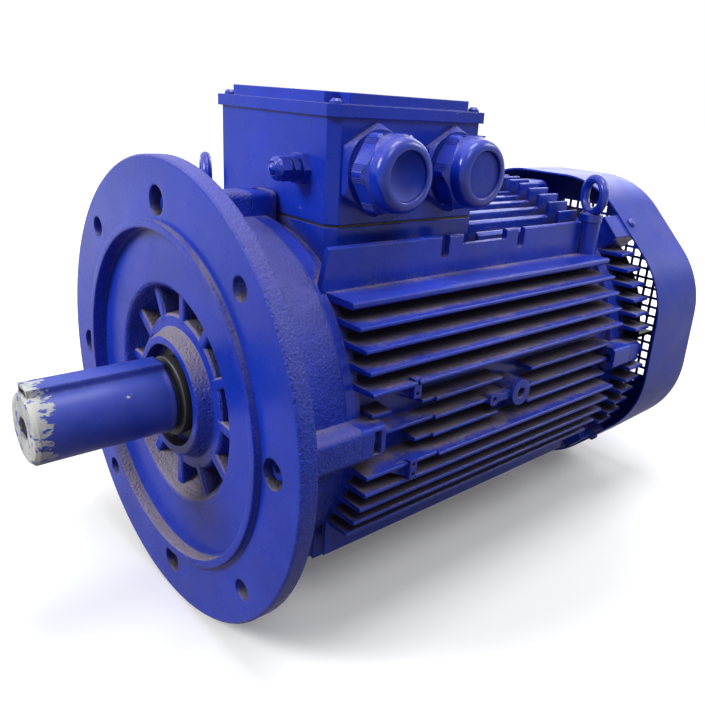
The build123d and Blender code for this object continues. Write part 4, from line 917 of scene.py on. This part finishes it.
@dataclass
class PackedSolids:
    """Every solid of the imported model, dressed as it is: housing, box, bearings, rotor and sleeve."""

    dressed: dict[Finish, tuple[str, ...]] = field(default_factory=lambda: {
        Finish.CASTING: ("frame", "nde_shield"),
        Finish.ROUGH_CASTING: ("de_shield",),
        Finish.SHEET: ("fan_cover", "fan_grille"),
        Finish.BOX: ("terminal_box", "box_lid"),
        Finish.FITTING: (
            "cover_screws", "de_shield_screws", "nde_shield_screws", "lid_screws", "eyebolt_rear",
            "eyebolt_front", "gland_bodies", "gland_nuts", "small_gland_body", "small_gland_nut",
            "small_gland_plug"),
        Finish.PLUG: ("gland_plug_dished", "gland_plug_flat"),
        Finish.SLEEVE: ("shaft_sleeve",),
        Finish.SHAFT: ("shaft",),
        Finish.STEEL: ("shaft_key", "box_screws", "de_bearing_cap"),
        Finish.PLATED: ("gland_locknuts", "small_gland_locknut", "de_bearing_cage", "nde_bearing_cage"),
        Finish.GROUND: (
            "nde_wave_spring", "fan_circlip", "de_bearing_outer", "nde_bearing_outer",
            "de_bearing_inner", "nde_bearing_inner", "de_bearing_balls", "nde_bearing_balls"),
        Finish.RUBBER: ("de_shaft_seal", "nde_v_ring", "de_v_ring"),
        Finish.GASKET: ("base_gasket", "lid_gasket"),
        Finish.CORE: ("stator_core", "rotor_core"),
        Finish.WINDING: ("stator_windings",),
        Finish.ALUMINIUM: ("rotor_cage_ends",),
        Finish.BRASS: ("terminal_studs", "terminal_links", "earth_screw"),
        Finish.BOARD: ("terminal_board",),
        Finish.FAN: ("cooling_fan",),
    })

    def build(self, nodes: dict[str, bpy.types.Object]) -> None:
        """Dress every solid.

        Args:
            nodes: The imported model's objects by node name.
        """
        finish_of = {name: finish for finish, names in self.dressed.items() for name in names}
        for name, piece in nodes.items():
            material = finish_of[name].material()
            piece.data.materials.clear()
            piece.data.materials.append(material)
            LOG.info("%s: dressed in %s", name, material.name)


@dataclass
class RearGrille:
    """Punched disc behind the rear opening of the fan cover. Its sizes are millimetres."""

    pitch: float = 11.7
    bar: float = 3.2
    punched_r: float = 147.0
    rim_r: float = 157.0
    rear: float = 603.0
    thickness: float = 1.5
    sides: int = 64

    def punched(self, face: bmesh.types.BMFace) -> bool:
        """Tell whether a cell of the disc gets a hole."""
        return all(vert.co.length < self.punched_r * MM for vert in face.verts)

    def build(self) -> bpy.types.Object:
        """Make the disc.

        Returns:
            The finished disc, which stands for the plainer solid.
        """
        work = Workpiece()
        bm = work.bm
        cells = 2 * math.ceil(self.rim_r / self.pitch)
        bmesh.ops.create_grid(bm, x_segments=cells, y_segments=cells, size=cells * self.pitch / 2 * MM)
        holes = [face for face in bm.faces if self.punched(face)]
        bmesh.ops.inset_individual(bm, faces=holes, thickness=self.bar / 2 * MM, use_even_offset=True)
        bmesh.ops.delete(bm, geom=holes, context="FACES")
        for side in range(self.sides):
            turn = 2 * math.pi * side / self.sides
            outward = Vector((math.cos(turn), math.sin(turn), 0.0))
            bmesh.ops.bisect_plane(bm, geom=bm.verts[:] + bm.edges[:] + bm.faces[:],
                                   plane_co=outward * self.rim_r * MM, plane_no=outward, clear_outer=True)
        made = bmesh.ops.extrude_face_region(bm, geom=bm.faces[:])["geom"]
        bmesh.ops.translate(bm, vec=(0, 0, self.thickness * MM),
                            verts=[part for part in made if isinstance(part, bmesh.types.BMVert)])
        place = Matrix.Translation((0, (self.rear - self.thickness) * MM, 0))
        work.move(place @ Matrix.Rotation(-math.pi / 2, 4, "X"))
        return work.finish("rear_grille_mesh", Body.STATOR, Slot.COVER_PAINT, Finish.SHEET,
                           stands_for=("fan_grille",))


@dataclass
class CapNutGrips:
    """Small grip ridges beside the six corners of both large cap nuts.

    Sizes are millimetres, and angles are degrees from a corner.
    """

    face_x: float = 86.75
    centre_y: float = 190.85
    pitch: float = 90.0
    height: float = 196.5
    across_flats: float = 61.0
    low: float = 13.0
    high: float = 27.0
    width: float = 0.7
    rise: float = 0.45
    angles: tuple[float, ...] = (-13.0, -10.5, -8.0, -5.5, 5.5, 8.0, 10.5, 13.0)
    half_flat: float = 30.0

    def ridge(self, corner: float, offset: float) -> Matrix:
        """Place of one ridge, on the flat beside a corner.

        Args:
            corner: Angle of the corner, in degrees.
            offset: Angle from the corner, in degrees.

        Returns:
            Matrix that puts a unit cube there as a ridge along local Z.
        """
        surface = self.across_flats / 2 / math.cos(math.radians(self.half_flat - abs(offset)))
        flat = math.radians(corner + math.copysign(self.half_flat, offset))
        around = math.radians(corner + offset)
        spot = Vector((math.cos(around), math.sin(around), 0.0)) * surface
        spot.z = (self.low + self.high) / 2
        size = Matrix.Diagonal((2 * self.rise * MM, self.width * MM, (self.high - self.low) * MM, 1.0))
        return Matrix.Translation(spot * MM) @ Matrix.Rotation(flat, 4, "Z") @ size

    def build(self) -> bpy.types.Object:
        """Make the ridges of both nuts.

        Returns:
            One piece that holds every ridge.
        """
        work = Workpiece()
        for side in (-0.5, 0.5):
            centre = Vector((self.face_x, self.centre_y + side * self.pitch, self.height)) * MM
            frame = axis_frame(centre, (1, 0, 0))
            for corner in range(30, 390, 60):
                for offset in self.angles:
                    bmesh.ops.create_cube(work.bm, size=1.0, matrix=frame @ self.ridge(corner, offset))
        return work.finish("cap_nut_grips", Body.STATOR, Slot.BLUE_PAINT, Finish.SHEET)


@dataclass(frozen=True)
class Lamp:
    """Large soft lamp: where it stands, the point it faces, its width, and its power in watts."""

    name: str
    place: Point
    aim: Point
    size: float
    power: float

    def build(self) -> None:
        """Hang the lamp and turn it to the point it faces."""
        data = bpy.data.lights.new(self.name, "AREA")
        data.size = self.size
        data.energy = self.power
        away = (Vector(self.place) - Vector(self.aim)).normalized()
        add_object(self.name, data).matrix_world = axis_frame(self.place, away)


@dataclass
class Studio:
    """Floor, world and lamps, and the camera at the viewing angle."""

    azimuth: float = math.radians(45.97)
    elevation: float = math.radians(19.73)
    roll: float = math.radians(4.2)
    place: Point = (0.53666, -0.24510, 0.25393)
    focal_px: float = 711.41
    centre_px: tuple[float, float] = (398.48, 353.1)
    frame_px: float = 705.0
    sensor: float = 36.0
    nearest: float = 0.01
    world_light: float = 0.13
    floor_z: float = -0.2003
    floor_half: float = 40.0
    floor_seen: Colour = (0.93, 0.93, 0.93)
    floor_mirrored: Colour = (0.40, 0.35, 0.33)
    floor_bounce: Colour = (0.08, 0.07, 0.07)
    floor_roughness: float = 0.9
    glow_band: Band = (0.4, 2.2)
    glow_share: Band = (0.12, 1.0)
    lamps: tuple[Lamp, ...] = (
        Lamp("key", (-0.7, -1.9, 1.4), (0.0, 0.1, 0.0), 1.0, 55.0),
        Lamp("side", (1.5, -0.3, 1.9), (0.1, 0.25, 0.0), 0.9, 12.0),
        Lamp("top", (0.3, 0.3, 2.3), (0.0, 0.25, 0.0), 1.0, 30.0),
        Lamp("rim", (1.1, 2.0, 1.25), (0.1, 0.25, 0.0), 0.8, 14.0),
        Lamp("back", (-0.8, 2.2, 1.0), (0.0, 0.4, 0.0), 1.2, 16.0),
    )

    def build(self) -> None:
        """Make the whole studio."""
        self.camera()
        self.world()
        self.floor()
        for lamp in self.lamps:
            lamp.build()
        bpy.context.scene.view_settings.view_transform = "Standard"
        LOG.info("studio: %d lamps, floor at %.4f", len(self.lamps), self.floor_z)

    def camera(self) -> None:
        """Place the camera from its fitted angles and frame."""
        a, e, rho = self.azimuth, self.elevation, self.roll
        back = Vector((math.sin(a) * math.cos(e), -math.cos(a) * math.cos(e), math.sin(e)))
        right = Vector((math.cos(a), math.sin(a), 0.0))
        up = back.cross(right)
        rolled_right = right * math.cos(rho) + up * math.sin(rho)
        rolled_up = up * math.cos(rho) - right * math.sin(rho)
        data = bpy.data.cameras.new("camera")
        data.sensor_width = self.sensor
        data.sensor_fit = "HORIZONTAL"
        data.lens = self.focal_px / self.frame_px * self.sensor
        data.shift_x = (self.frame_px / 2 - self.centre_px[0]) / self.frame_px
        data.shift_y = (self.centre_px[1] - self.frame_px / 2) / self.frame_px
        data.clip_start = self.nearest
        camera = add_object("camera", data)
        turn = Matrix((rolled_right, rolled_up, back)).transposed().to_4x4()
        camera.matrix_world = Matrix.Translation(Vector(self.place)) @ turn
        bpy.context.scene.camera = camera

    def seen_directly(self, board: NodeBoard) -> Socket:
        """Tell the rays of the camera, of reflections and of clear parts from diffuse light.

        Args:
            board: Board of the material or world.

        Returns:
            Socket that is 1 for what is seen and 0 for what only lights the scene.
        """
        path = board.add("ShaderNodeLightPath").outputs
        shown = board.math("MAXIMUM", path["Is Camera Ray"], path["Is Glossy Ray"])
        return board.math("MAXIMUM", shown, path["Is Transmission Ray"])

    def world(self) -> None:
        """Even light from all round, with a white backdrop for the camera and for reflections."""
        world = bpy.data.worlds.new("studio")
        bpy.context.scene.world = world
        board = fresh_board(world)
        shown = board.math("MULTIPLY", self.seen_directly(board), 1.0 - self.world_light)
        strength = board.math("ADD", shown, self.world_light)
        glow = board.add("ShaderNodeBackground", {"Color": rgba(WHITE), "Strength": strength})
        board.add("ShaderNodeOutputWorld", {"Surface": glow.outputs[0]})

    def floor_material(self) -> bpy.types.Material:
        """Make the floor's material, which fades to white with the distance from the flange.

        Returns:
            The finished material.
        """
        material = bpy.data.materials.new("pale_floor")
        board = fresh_board(material)
        path = board.add("ShaderNodeLightPath").outputs
        distance = board.add("ShaderNodeVectorMath", {0: board.coordinates()}, operation="LENGTH")
        fade = board.ramp(distance.outputs["Value"], *self.glow_band, *self.glow_share)
        far = board.math("MULTIPLY", self.seen_directly(board), fade)
        mirrored = board.math("MAXIMUM", path["Is Glossy Ray"], path["Is Transmission Ray"])
        unseen = board.mix(mirrored, rgba(self.floor_bounce), rgba(self.floor_mirrored))
        pale = board.mix(path["Is Camera Ray"], unseen, rgba(self.floor_seen))
        shader = board.add("ShaderNodeBsdfPrincipled", {
            "Base Color": pale, "Roughness": self.floor_roughness,
            "Emission Color": board.mix(far, rgba(BLACK), rgba(WHITE)), "Emission Strength": 1.0})
        board.add("ShaderNodeOutputMaterial", {"Surface": shader.outputs[0]})
        return material

    def floor(self) -> None:
        """Plain pale floor under the flange."""
        work = Workpiece()
        bmesh.ops.create_grid(work.bm, x_segments=2, y_segments=2, size=self.floor_half,
                              matrix=Matrix.Translation((0, 0, self.floor_z)))
        floor = add_object("floor", work.mesh("floor", self.floor_material()))


def main() -> None:
    """Build and dress every sub-assembly in order."""
    logging.basicConfig(level=logging.INFO, format="%(name)s %(message)s")
    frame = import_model()
    PackedSolids().build(frame["nodes"])
    RearGrille().build()
    CapNutGrips().build()
    Studio().build()


if __name__ == "__main__":
    main()
